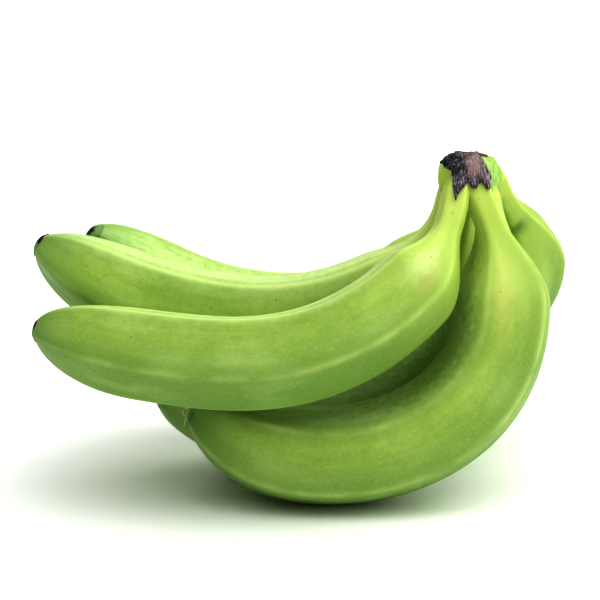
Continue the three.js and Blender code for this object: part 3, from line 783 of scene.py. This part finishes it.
def line_mesh(finger):
    """A finger's middle line, with what the tree needs at each point. Its two end points close the skin."""
    start = SKIN_START / finger["length"]
    share = start + (1 - start) * (1 - (1 - np.arange(SKIN_RINGS + 1) / SKIN_RINGS) ** RING_EASE)
    share = np.concatenate(([start], share, [1]))
    radius = radius_at(finger, share)
    radius[[0, -1]] = 0
    _, hollow, front = axes_at(finger, share)
    edges = [(i, i + 1) for i in range(len(share) - 1)]
    mesh = mesh_from("line_" + finger["name"], placed(point_on(finger, share)), edges=edges)
    walked = share * finger["length"] * MM
    for name, values in (("share", share), ("walked", walked), ("radius", radius * MM)):
        set_attribute(mesh, name, "FLOAT", values)
    for name, values in (("hollow", hollow), ("front", front)):
        set_attribute(mesh, name, "FLOAT_VECTOR", values)
    return mesh


# The fold in the back finger's shoulder: its share and its turn.
CREASES = {"lower_back": (0.168, 102)}


def build_fingers():
    """The skins of the six fingers."""
    sizes = bpy.context.scene.plantain_sizes
    tree = finger_tree()
    material = peel_material()
    for i, finger in enumerate(FINGERS):
        piece = new_object("skin_" + finger["name"], line_mesh(finger))
        crease_share, crease_turn = CREASES.get(finger["name"], (-1, 0))
        with_tree(piece, tree, {
            "Ridge Turn": math.radians(finger["ridge"]), "Bead": sizes.bead, "Unevenness": sizes.unevenness,
            "Crease": sizes.crease if finger["name"] in CREASES else 0.0, "Crease Share": crease_share,
            "Crease Turn": math.radians(crease_turn), "Seed": float(i), "Material": material})
        finish_piece(piece, "finger_" + finger["name"])


def ring_mesh(name, rows):
    """A closed skin over rows of points: the first and the last row each close on their middle."""
    rings, sides, _ = rows.shape
    points = [*rows.reshape(-1, 3), rows[0].mean(0), rows[-1].mean(0)]
    faces = []
    for ring in range(rings - 1):
        for side in range(sides):
            after = (side + 1) % sides
            a, b = ring * sides + side, ring * sides + after
            faces.append((a, b, b + sides, a + sides))
    first, last = rings * sides, rings * sides + 1
    for side in range(sides):
        after = (side + 1) % sides
        faces.append((after, side, first))
        faces.append(((rings - 1) * sides + side, (rings - 1) * sides + after, last))
    return mesh_from(name, points, faces)


# A flower end's profile: how far beyond the finger's end, and its half width as a share of that end.
TIP_PROFILE = [
    (-1.2, 0.96), (-0.4, 0.99), (0.3, 0.94), (0.7, 0.82), (1.0, 0.66), (1.2, 0.46), (1.3, 0.28), (1.35, 0.12),
]
TIP_SIDES = 48
TIP_ROUGHNESS = 0.5
# How narrow the black on the rim is: the cosine of the turn from the hollow side to its edge.
DIED_BACK = 0.5
DIED_BACK_OF = {"upper_front": -0.4, "upper_middle": -0.1, "upper_back": 0.96}


def build_tips():
    """The dried black flower ends."""
    colours = bpy.context.scene.plantain_colours
    tree = rough_tree()
    material = dried_material("Dried black flower end", linear("#2E2521"), colours.dried_dark,
                              linear("#6B5A48"), (1.0, 1.0, 1.0), 500.0, 0.4, [("rim", "#8CB070")])
    for i, finger in enumerate(FINGERS):
        angle = np.arange(TIP_SIDES) * 2 * math.pi / TIP_SIDES
        width = radius_at(finger, 1)[0]
        ragged = 1 + 0.04 * np.sin(5 * angle + i) + 0.03 * np.sin(11 * angle + 2 * i)
        share = np.array([1 + beyond / finger["length"] for beyond, _ in TIP_PROFILE])
        radius = np.array([width * part for _, part in TIP_PROFILE])
        radius[:2] += radius_at(finger, share[:2]) - width
        rows = skin_points(finger, share, angle, radius)
        middle = point_on(finger, share)[:, None, :]
        rows = middle + (rows - middle) * ragged[None, :, None]
        piece = new_object("flower_end_" + finger["name"], ring_mesh("flower_end", placed(rows)))
        # Only the hollow side and the middle have died back to black: the rest of the rim is still green.
        outer = np.array([part for _, part in TIP_PROFILE])[:, None] + 0.06 * np.sin(7 * angle + 3 * i)
        reach = DIED_BACK_OF.get(finger["name"], DIED_BACK)
        rim = eased(outer, 0.35 + 0.2 * (1 - reach), 0.75) * (1 - eased(np.cos(angle), reach, reach + 0.3))
        set_attribute(piece.data, "rim", "FLOAT", np.concatenate((rim.reshape(-1), (1, 0))))
        with_tree(piece, tree, {
            "Height": TIP_ROUGHNESS * MM, "Scale": 500.0, "Seed": float(i), "Material": material})
        finish_piece(piece, "tip_" + finger["name"])


def cushion_point(direction):
    """Points of the crown's cushion in these directions from its middle, before it is turned."""
    x, y, z = direction.T
    knob = CROWN_KNOB * np.sin(5 * x + 1) * np.sin(7 * y + 2) * np.sin(4 * z + 3)
    boxy = (np.abs(direction) ** CROWN_BOXINESS).sum(1) ** (-1 / CROWN_BOXINESS)
    return direction * CROWN_HALF * (boxy + knob / CROWN_HALF[0])[:, None]


def turned(points):
    """Turns points as the crown lies, and moves them to its middle."""
    return points @ CROWN_AXES.T + CROWN_MIDDLE


def round_rows(rings, sides, reach):
    """Directions over a ball as rows of points, from its lowest to its highest: reach is 1 at the poles."""
    height = np.linspace(-reach, reach, rings)
    turn = np.arange(sides) * 2 * math.pi / sides
    flat = np.sqrt(1 - height ** 2)
    return np.stack((flat[:, None] * np.cos(turn), flat[:, None] * np.sin(turn),
                     np.repeat(height[:, None], sides, axis=1)), axis=-1)


def cushion_rows():
    """The cushion as rows of points."""
    direction = round_rows(CUSHION_RINGS, CUSHION_SIDES, CUSHION_REACH)
    return turned(cushion_point(direction.reshape(-1, 3))).reshape(direction.shape)


def sleeve_rows(finger):
    """The crown's sleeve over the top of a neck. It ends a little inside the finger's skin."""
    length = finger["length"]
    place = np.array(SLEEVE_PLACES)
    extra = SLEEVE_EXTRA * (1 - eased(place, 4, 10)) - SLEEVE_DIP * eased(place, 9, SLEEVE_END)
    angle = np.arange(CUSHION_SIDES) * 2 * math.pi / CUSHION_SIDES
    return skin_points(finger, place / length, angle, radius_at(finger, place / length) + extra)


def joined(name, meshes):
    """One mesh of several."""
    points, faces = [], []
    for mesh in meshes:
        start = len(points)
        points.extend(v.co.copy() for v in mesh.vertices)
        faces.extend(tuple(start + i for i in p.vertices) for p in mesh.polygons)
        bpy.data.meshes.remove(mesh)
    return mesh_from(name, points, faces)


def build_crown():
    """The crown: one knobbly cushion grown together with the tops of the six necks."""
    sizes = bpy.context.scene.plantain_sizes
    parts = [ring_mesh("cushion", placed(cushion_rows()))]
    parts += [ring_mesh("sleeve", placed(sleeve_rows(finger))) for finger in FINGERS]
    piece = new_object("crown_rind", joined("crown_rind", parts))
    grown = piece.modifiers.new("Grown Together", "REMESH")
    grown.mode = "VOXEL"
    grown.voxel_size = CROWN_VOXEL * MM
    soft = piece.modifiers.new("Softened", "SMOOTH")
    soft.factor = CROWN_SOFTNESS
    soft.iterations = CROWN_SOFT_PASSES
    made_plain(piece)
    points = np.array([v.co for v in piece.data.vertices]) / MM - SHIFT - CROWN_MIDDLE
    parts = np.abs(points @ CROWN_AXES) / CROWN_HALF
    distance = (parts ** CROWN_BOXINESS).sum(1) ** (1 / CROWN_BOXINESS)
    across, back, _ = (points + CROWN_MIDDLE).T
    in_front = 0.85 * (1 - eased(across, 75, 82)) * (1 - eased(back, 2, 12))
    set_attribute(piece.data, "neck", "FLOAT", np.maximum(eased(distance, 1.0, 1.25), in_front))
    set_attribute(piece.data, "calm", "FLOAT", eased(distance, 1.1, 1.5))
    with_tree(piece, rough_tree(), {
        "Height": sizes.crown_knobs, "Scale": 240.0, "Detail": 2.0, "Seed": 2.0,
        "Material": crown_material()})
    finish_piece(piece, "crown")


# The torn flap's outline as seen from the front: across and up from the front of the crown.
FLAP_PLACE = np.array((76, 0, 146))
FLAP_OUTLINE = [
    (-4, 9.9), (-6, 7.3), (-6.5, 4), (-6.8, 0.7), (-6.4, -3.7), (-5.9, -8.7), (-5.3, -7.2), (-4.6, -5.6),
    (-3.9, -5.6), (-3.4, -4.6), (-2.3, -3.9), (-1.6, -3.6), (-0.4, -2.5), (0.8, -2), (1.6, -3.3), (2.1, -4.3),
    (2.7, -4.8), (3.5, -4.5), (4.1, -4.7), (4.7, -4.1), (5.1, -2.9), (5.9, -2.5), (6.6, -1.6), (7.3, -2.6),
    (7.9, -3.3), (8.4, -4.3), (9.2, -4.9), (10, -5.6), (10.6, -4.3), (10.9, -3.6), (11.8, -2.9), (12.2, -1.9),
    (11.3, 0.3), (10.7, 1.2), (9.9, 2.8), (8.6, 5.4), (7.6, 7.8), (6.2, 9.4), (4.4, 9.6), (2.4, 9.7),
    (0.6, 9.8), (-1.6, 10.1),
]
# The flap's worn middle, its bluish left side and its torn edge.
FLAP_TINTS = [("worn", "#CDB1A4"), ("blued", "#4D5260"), ("torn", "#2B262C")]
FLAP_STEP = 0.45  # how far apart the flap's points are
DRAPE_STEP = 0.5  # how far apart the places are where its depth is felt
DRAPE_START = -80  # well in front of the hand
DRAPE_SLOPE = 1.2
DRAPE_PASSES = 12
FLAP_LIFT = 0.9  # how far the flap stands off
FLAP_FLARE = 0.9  # how much further its lower edge does
FLAP_FAN = (1, 26)  # the place, across and up, that its folds fan out from
FLAP_ROUGHNESS = 0.5
FIBRE_DENSITY = 0.5e6  # for each square metre


def trees_of(names):
    """Search trees of finished pieces."""
    depsgraph = bpy.context.evaluated_depsgraph_get()
    return [BVHTree.FromObject(bpy.data.objects[name], depsgraph) for name in names]


def draped_depth(names, across, up):
    """How far back the first of these pieces stands behind each place of a front view, draped smoothly."""
    trees = trees_of(names)
    depth = np.full((len(up), len(across)), np.nan)
    for row, z in enumerate(up):
        for column, x in enumerate(across):
            start = Vector(placed((x, DRAPE_START, z)))
            hits = [tree.ray_cast(start, Vector((0, 1, 0)))[0] for tree in trees]
            found = [hit.y for hit in hits if hit is not None]
            if found:
                depth[row, column] = min(found) / MM - SHIFT[1]
    # Above the crown the cloth of the flap runs on backwards.
    for row in range(1, len(up)):
        missing = np.isnan(depth[row])
        depth[row, missing] = depth[row - 1, missing] + DRAPE_SLOPE
    depth = np.where(np.isnan(depth), np.nanmax(depth), depth)
    smooth = depth.copy()
    rows, columns = depth.shape
    for _ in range(DRAPE_PASSES):
        padded = np.pad(smooth, 1, mode="edge")
        near = sum(padded[i:i + rows, j:j + columns] for i in range(3) for j in range(3)) / 9
        smooth = np.minimum(near, depth)
    return smooth


def flap_cloth():
    """The flap as a flat cloth of triangles, seen from the front."""
    outline = np.array(FLAP_OUTLINE)
    low, high = outline.min(0), outline.max(0)
    columns, rows = np.arange(low[0], high[0], FLAP_STEP), np.arange(low[1], high[1], FLAP_STEP)
    inside = [(x, z) for x in columns for z in rows]
    flat = [Vector(p) for p in outline] + [Vector(p) for p in inside]
    border = [(i, (i + 1) % len(outline)) for i in range(len(outline))]
    verts, _, faces, _, _, _ = delaunay_2d_cdt(flat, border, [list(range(len(outline)))], 1, 1e-4)
    return np.array([tuple(v) for v in verts]), faces


def between_places(depth, row, column):
    """The depth at a place between the four places around it."""
    row = np.clip(row, 0, depth.shape[0] - 1.001)
    column = np.clip(column, 0, depth.shape[1] - 1.001)
    i, j = int(row), int(column)
    s, t = row - i, column - j
    return ((1 - s) * ((1 - t) * depth[i, j] + t * depth[i, j + 1])
            + s * ((1 - t) * depth[i + 1, j] + t * depth[i + 1, j + 1]))


def build_flap():
    """The torn, fibrous flap of dried skin over the front of the crown."""
    scene = bpy.context.scene
    sizes, colours = scene.plantain_sizes, scene.plantain_colours
    outline = np.array(FLAP_OUTLINE)
    low, high = outline.min(0), outline.max(0)
    verts, faces = flap_cloth()
    across = FLAP_PLACE[0] + np.arange(low[0] - 1, high[0] + 1, DRAPE_STEP)
    up = FLAP_PLACE[2] + np.arange(low[1] - 1, high[1] + 2, DRAPE_STEP)
    depth = draped_depth(["crown_rind", "skin_upper_front", "skin_lower_front"], across, up)
    points, torn, worn, blued = [], [], [], []
    for x, z in verts:
        edge = np.hypot(*(outline - (x, z)).T).min()
        torn.append(0.9 * (1 - eased(edge, 0.2, 1.0)))
        blued.append(0.8 * (1 - eased(x, -3, 2)))
        worn.append(0.5 * (1 - eased(np.hypot((x - 3.5) / 4.5, (z - 5) / 6), 0.3, 1.1)))
        row = (FLAP_PLACE[2] + z - up[0]) / DRAPE_STEP
        column = (FLAP_PLACE[0] + x - across[0]) / DRAPE_STEP
        y = between_places(depth, row, column)
        spread = np.arctan2(x - FLAP_FAN[0], FLAP_FAN[1] - z)
        folds = np.sin(34 * spread + 0.6) + 0.6 * np.sin(61 * spread + 2 + 0.15 * z)
        folds *= sizes.flap_folds / MM * 0.35 * eased(-z, -11, -2)
        lift = FLAP_LIFT + folds + FLAP_FLARE * eased(-z, 1, 7)
        points.append((FLAP_PLACE[0] + x, y - lift, FLAP_PLACE[2] + z))
    piece = new_object("dried_flap", mesh_from("dried_flap", placed(points), faces))
    for name, values in (("torn", torn), ("worn", worn), ("blued", blued)):
        set_attribute(piece.data, name, "FLOAT", values)
    thick = piece.modifiers.new("Thickness", "SOLIDIFY")
    thick.thickness = sizes.flap_thickness
    thick.offset = 0
    made_plain(piece)
    material = dried_material("Dried fibrous bract", colours.dried_plum, colours.dried_dark,
                              colours.dried_tan, (1.0, 0.4, 0.22), 420.0, 0.46, FLAP_TINTS)
    with_tree(piece, rough_tree(), {
        "Height": FLAP_ROUGHNESS * MM, "Scale": 700.0, "Stretch": (1.0, 0.5, 0.2), "Seed": 5.0,
        "Material": material})
    finish_piece(piece, "crown_flap")
    fibres = new_object("flap_fibres", piece.data.copy())
    pale = dried_material("Dried pale fibre", colours.dried_tan, linear("#9A8894"), linear("#E0CDB8"),
                          (1.0, 1.0, 0.3), 300.0, 0.5)
    with_tree(fibres, fibre_tree(), {
        "Density": FIBRE_DENSITY, "Length": sizes.fibre_length, "Radius": sizes.fibre_radius,
        "Lift": FIBRE_LIFT * MM, "Seed": 4, "Material": pale})
    finish_piece(fibres, "crown_flap")


LUMP_MIDDLE = np.array((70.2, -2, 152.5))
LUMP_HALF = np.array((5.5, 5.5, 4.3))
LUMP_RINGS = 60
LUMP_SIDES = 90
LUMP_REACH = 0.99
LUMP_NOSE = 0.45  # how much slimmer its outer end is
LUMP_MARGIN = 0.5  # room for the crags
SCAB_MIDDLE = np.array((80, 22))
SCAB_HALF = np.array((7.5, 17.5))
SCAB_RINGS = 26
SCAB_SIDES = 72
SCAB_LIFT = 0.15
SCAB_THICKNESS = 0.8
SCAB_ROUGHNESS = 1.3
ABOVE_ALL = 200
CROWN_TOP = 147


def build_lump():
    """The craggy black stump of the stalk at the front end of the cut."""
    sizes, colours = bpy.context.scene.plantain_sizes, bpy.context.scene.plantain_colours
    rows = round_rows(LUMP_RINGS, LUMP_SIDES, LUMP_REACH)
    x, y, z = rows[..., 0], rows[..., 1], rows[..., 2]
    crag = 1 + 0.12 * np.sin(6 * x + 2) * np.cos(5 * z) + 0.08 * np.sin(9 * y)
    nose = 1 - LUMP_NOSE * eased(-x, 0.1, 1)
    rows = rows * np.stack((np.ones_like(nose), nose, nose), axis=-1)
    rows = LUMP_MIDDLE + rows * (LUMP_HALF - LUMP_MARGIN) * crag[..., None]
    piece = new_object("dried_lump", ring_mesh("dried_lump", placed(rows)))
    # Its pale grey-blue mottling is painted highlight, scattered by a noise.
    material = dried_material("Dried black stalk", linear("#3E4046"), linear("#25262A"), linear("#8A9096"),
                              (0.5, 1.0, 1.0), 350.0, 0.5)
    with_tree(piece, rough_tree(), {
        "Height": sizes.crags, "Scale": 330.0, "Detail": 4.0, "Roughness": 0.6, "Stretch": (0.6, 1.0, 1.2),
        "Seed": 8.0, "Material": material})
    finish_piece(piece, "crown_lump")


def build_scab():
    """The corky scab on top of the crown, where the hand was cut from its stalk."""
    colours = bpy.context.scene.plantain_colours
    tree = trees_of(["crown_rind"])[0]
    turn = math.radians(CROWN_TURN)
    rings, sides = SCAB_RINGS, SCAB_SIDES
    rows = np.zeros((2 * rings, sides, 3))
    for side in range(sides):
        angle = side / sides * 2 * math.pi
        ragged = 1 + 0.1 * math.sin(3 * angle + 1) + 0.08 * math.sin(7 * angle)
        ragged += 0.05 * math.sin(17 * angle + 2)
        for ring in range(rings):
            part = ((ring + 0.5) / rings) * ragged
            x, y = np.array((math.cos(angle), math.sin(angle))) * SCAB_HALF * part
            place = (SCAB_MIDDLE[0] + x * math.cos(turn) - y * math.sin(turn),
                     SCAB_MIDDLE[1] + x * math.sin(turn) + y * math.cos(turn))
            hit = tree.ray_cast(Vector(placed((*place, ABOVE_ALL))), Vector((0, 0, -1)))[0]
            ground = hit.z / MM if hit is not None else CROWN_TOP
            edge = eased(1 - (ring + 0.5) / rings, 0, 0.12)
            rows[ring, side] = (*place, ground + SCAB_LIFT + SCAB_THICKNESS * edge)
            rows[2 * rings - 1 - ring, side] = (*place, ground - SCAB_THICKNESS)
    piece = new_object("dried_scab", ring_mesh("dried_scab", placed(rows)))
    material = dried_material("Corky dried cut", colours.dried_cork, linear("#4A3526"), linear("#D9BE8C"),
                              (1.0, 1.0, 1.0), 380.0, 0.42)
    with_tree(piece, rough_tree(), {
        "Height": SCAB_ROUGHNESS * MM, "Scale": 420.0, "Detail": 4.0, "Seed": 6.0, "Material": material})
    finish_piece(piece, "crown_scab")


# The thread, its twig and its curl, from the finger's end: along it, to its hollow side and to its front.
THREAD_LINES = [
    [(1.5, 1, 7), (0.5, -3, 8.5), (-1.5, -7, 10)],
    [(0.5, -3, 8.5), (-1.7, -4.8, 9.7)],
    [(1.5, 1, 7), (3.1, -0.5, 7), (2.3, -3, 8.5), (0.5, -3, 8.5)],
]
THREAD_RADIUS = 0.32
THREAD_ROUGHNESS = 0.3


def build_thread():
    """The dried flower thread that still hangs at the lower front finger's tip."""
    colours = bpy.context.scene.plantain_colours
    finger = BY_NAME["lower_front"]
    end = point_on(finger, 1)[0]
    axes = np.array([axis[0] for axis in axes_at(finger, 1)])
    curve = bpy.data.curves.new("flower_thread", "CURVE")
    curve.dimensions = "3D"
    curve.bevel_depth = THREAD_RADIUS * MM
    curve.bevel_resolution = 3
    curve.use_fill_caps = True
    for places in THREAD_LINES:
        spline = curve.splines.new("NURBS")
        spline.points.add(len(places) - 1)
        for knot, place in zip(spline.points, places):
            knot.co = (*placed(end + np.array(place) @ axes), 1)
        spline.order_u = min(3, len(places))
        spline.use_endpoint_u = True
    guide = new_object("thread_guide", curve)
    depsgraph = bpy.context.evaluated_depsgraph_get()
    mesh = bpy.data.meshes.new_from_object(guide.evaluated_get(depsgraph), depsgraph=depsgraph)
    bpy.data.objects.remove(guide)
    bpy.data.curves.remove(curve)
    piece = new_object("dried_thread", mesh)
    material = plain_material("Dried flower thread", colours.thread, 0.8)
    with_tree(piece, rough_tree(), {
        "Height": THREAD_ROUGHNESS * MM, "Scale": 900.0, "Seed": 1.0, "Material": material})
    finish_piece(piece, "flower_thread")


# The photograph's view: the camera looks down a little at a point above the front of the hand.
CAMERA_RISE = 13.2
CAMERA_ROLL = 1.5
CAMERA_DISTANCE = 718
CAMERA_PIVOT = (0, 0, 90.4)
FRAME_PIXELS = 600
FOCAL_PIXELS = 1565
SENSOR = 36
SEEN_FROM, SEEN_TO = 0.05, 60  # metres
# Soft lights: how bright, from where round the hand (0 in front, 90 on the right) and how high.
LIGHTS = (
    ("Front Light", 0.18, 0, 62), ("Left Light", 0.2, 300, 62), ("Key Light", 0.28, 60, 62),
    ("High Rim Light", 0.18, 120, 62), ("Side Light", 0.34, 60, 32), ("Rim Light", 0.31, 120, 32),
    ("Back Light", 0.3, 195, 32), ("Top Light", 0.11, 0, 88),
)
LIGHT_SPREAD = 55
FILM_CONTRAST = 1.6
ROOM_GLOW = 0.08  # how much of the white room's light falls on the hand
FLOOR_HALF = 12  # metres


def build_stage():
    """The pale floor, the soft lights, the white surroundings and the camera."""
    scene = bpy.context.scene
    scene.view_settings.view_transform = "Standard"
    scene.view_settings.gamma = 1 / FILM_CONTRAST
    corners = [(x * FLOOR_HALF, y * FLOOR_HALF, 0) for x, y in ((-1, -1), (1, -1), (1, 1), (-1, 1))]
    floor = new_object("studio_floor", mesh_from("studio_floor", corners, [(0, 1, 2, 3)]))
    floor.data.materials.append(plain_material("Matt white studio floor", scene.plantain_colours.floor, 0.9))

    world = bpy.data.worlds.new("Soft White Room")
    scene.world = world
    world.use_nodes = True
    # White walls to look at, and a dimmer glow on the hand, so that its undersides stay in shade.
    room = world.node_tree
    seen = add(room, "ShaderNodeLightPath").outputs["Is Camera Ray"]
    glow = add(room, "ShaderNodeMapRange", {0: seen, 3: ROOM_GLOW, 4: 1.0})
    room.links.new(glow.outputs["Result"], room.nodes["Background"].inputs["Strength"])
    room.nodes["Background"].inputs["Color"].default_value = (1, 1, 1, 1)

    for name, strength, azimuth, rise in LIGHTS:
        light = bpy.data.lights.new(name, "SUN")
        light.energy = strength * math.pi
        light.angle = math.radians(LIGHT_SPREAD)
        lamp = bpy.data.objects.new(name, light)
        a, e = math.radians(azimuth), math.radians(rise)
        toward = Vector((math.sin(a) * math.cos(e), -math.cos(a) * math.cos(e), math.sin(e)))
        lamp.rotation_euler = toward.to_track_quat("Z", "Y").to_euler()
        scene.collection.objects.link(lamp)

    data = bpy.data.cameras.new("Photograph")
    data.sensor_width = SENSOR
    data.lens = FOCAL_PIXELS / FRAME_PIXELS * SENSOR
    data.clip_start = SEEN_FROM
    data.clip_end = SEEN_TO
    camera = bpy.data.objects.new("Photograph", data)
    rise = math.radians(CAMERA_RISE)
    back = np.array((0, -math.cos(rise), math.sin(rise))) * CAMERA_DISTANCE
    look = Matrix.Rotation(math.pi / 2 - rise, 4, "X") @ Matrix.Rotation(-math.radians(CAMERA_ROLL), 4, "Z")
    camera.matrix_world = Matrix.Translation(Vector(placed(np.array(CAMERA_PIVOT) + back))) @ look
    scene.collection.objects.link(camera)
    scene.camera = camera


class PLANTAIN_OT_fingers(bpy.types.Operator):
    """Builds the six fingers' skins"""
    bl_idname = "plantain.fingers"
    bl_label = "Build Fingers"

    def execute(self, context):
        build_fingers()
        return {"FINISHED"}


class PLANTAIN_OT_tips(bpy.types.Operator):
    """Builds the dried flower ends"""
    bl_idname = "plantain.tips"
    bl_label = "Build Flower Ends"

    def execute(self, context):
        build_tips()
        return {"FINISHED"}


class PLANTAIN_OT_crown(bpy.types.Operator):
    """Builds the green crown"""
    bl_idname = "plantain.crown"
    bl_label = "Build Crown"

    def execute(self, context):
        build_crown()
        return {"FINISHED"}


class PLANTAIN_OT_dried(bpy.types.Operator):
    """Builds the dried flap, lump and scab on the crown"""
    bl_idname = "plantain.dried"
    bl_label = "Build Dried Pieces"

    def execute(self, context):
        build_flap()
        build_lump()
        build_scab()
        return {"FINISHED"}


class PLANTAIN_OT_thread(bpy.types.Operator):
    """Builds the dried flower thread"""
    bl_idname = "plantain.thread"
    bl_label = "Build Flower Thread"

    def execute(self, context):
        build_thread()
        return {"FINISHED"}


class PLANTAIN_OT_stage(bpy.types.Operator):
    """Builds the floor, the lights and the camera"""
    bl_idname = "plantain.stage"
    bl_label = "Build Stage"

    def execute(self, context):
        build_stage()
        return {"FINISHED"}


OPERATORS = (PLANTAIN_OT_fingers, PLANTAIN_OT_tips, PLANTAIN_OT_crown, PLANTAIN_OT_dried, PLANTAIN_OT_thread,
             PLANTAIN_OT_stage)


class PLANTAIN_PT_panel(bpy.types.Panel):
    """Lists the sizes, the colours and the steps"""
    bl_idname = "PLANTAIN_PT_panel"
    bl_label = "Plantain Hand"
    bl_space_type = "VIEW_3D"
    bl_region_type = "UI"
    bl_category = "Plantain"

    def draw(self, context):
        layout = self.layout
        for group in (context.scene.plantain_sizes, context.scene.plantain_colours):
            for name in group.__annotations__:
                layout.prop(group, name)
        for operator in OPERATORS:
            layout.operator(operator.bl_idname)


CLASSES = (PlantainSizes, PlantainColours, *OPERATORS, PLANTAIN_PT_panel)


def register():
    """Registers the classes and the settings."""
    for cls in CLASSES:
        bpy.utils.register_class(cls)
    bpy.types.Scene.plantain_sizes = bpy.props.PointerProperty(type=PlantainSizes)
    bpy.types.Scene.plantain_colours = bpy.props.PointerProperty(type=PlantainColours)


def unregister():
    """Removes what register added."""
    del bpy.types.Scene.plantain_colours
    del bpy.types.Scene.plantain_sizes
    for cls in reversed(CLASSES):
        bpy.utils.unregister_class(cls)


def main():
    """Builds the whole scene."""
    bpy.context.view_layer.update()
    register()
    bpy.ops.plantain.fingers()
    bpy.ops.plantain.tips()
    bpy.ops.plantain.crown()
    bpy.ops.plantain.dried()
    bpy.ops.plantain.thread()
    bpy.ops.plantain.stage()


if __name__ == "__main__":
    main()
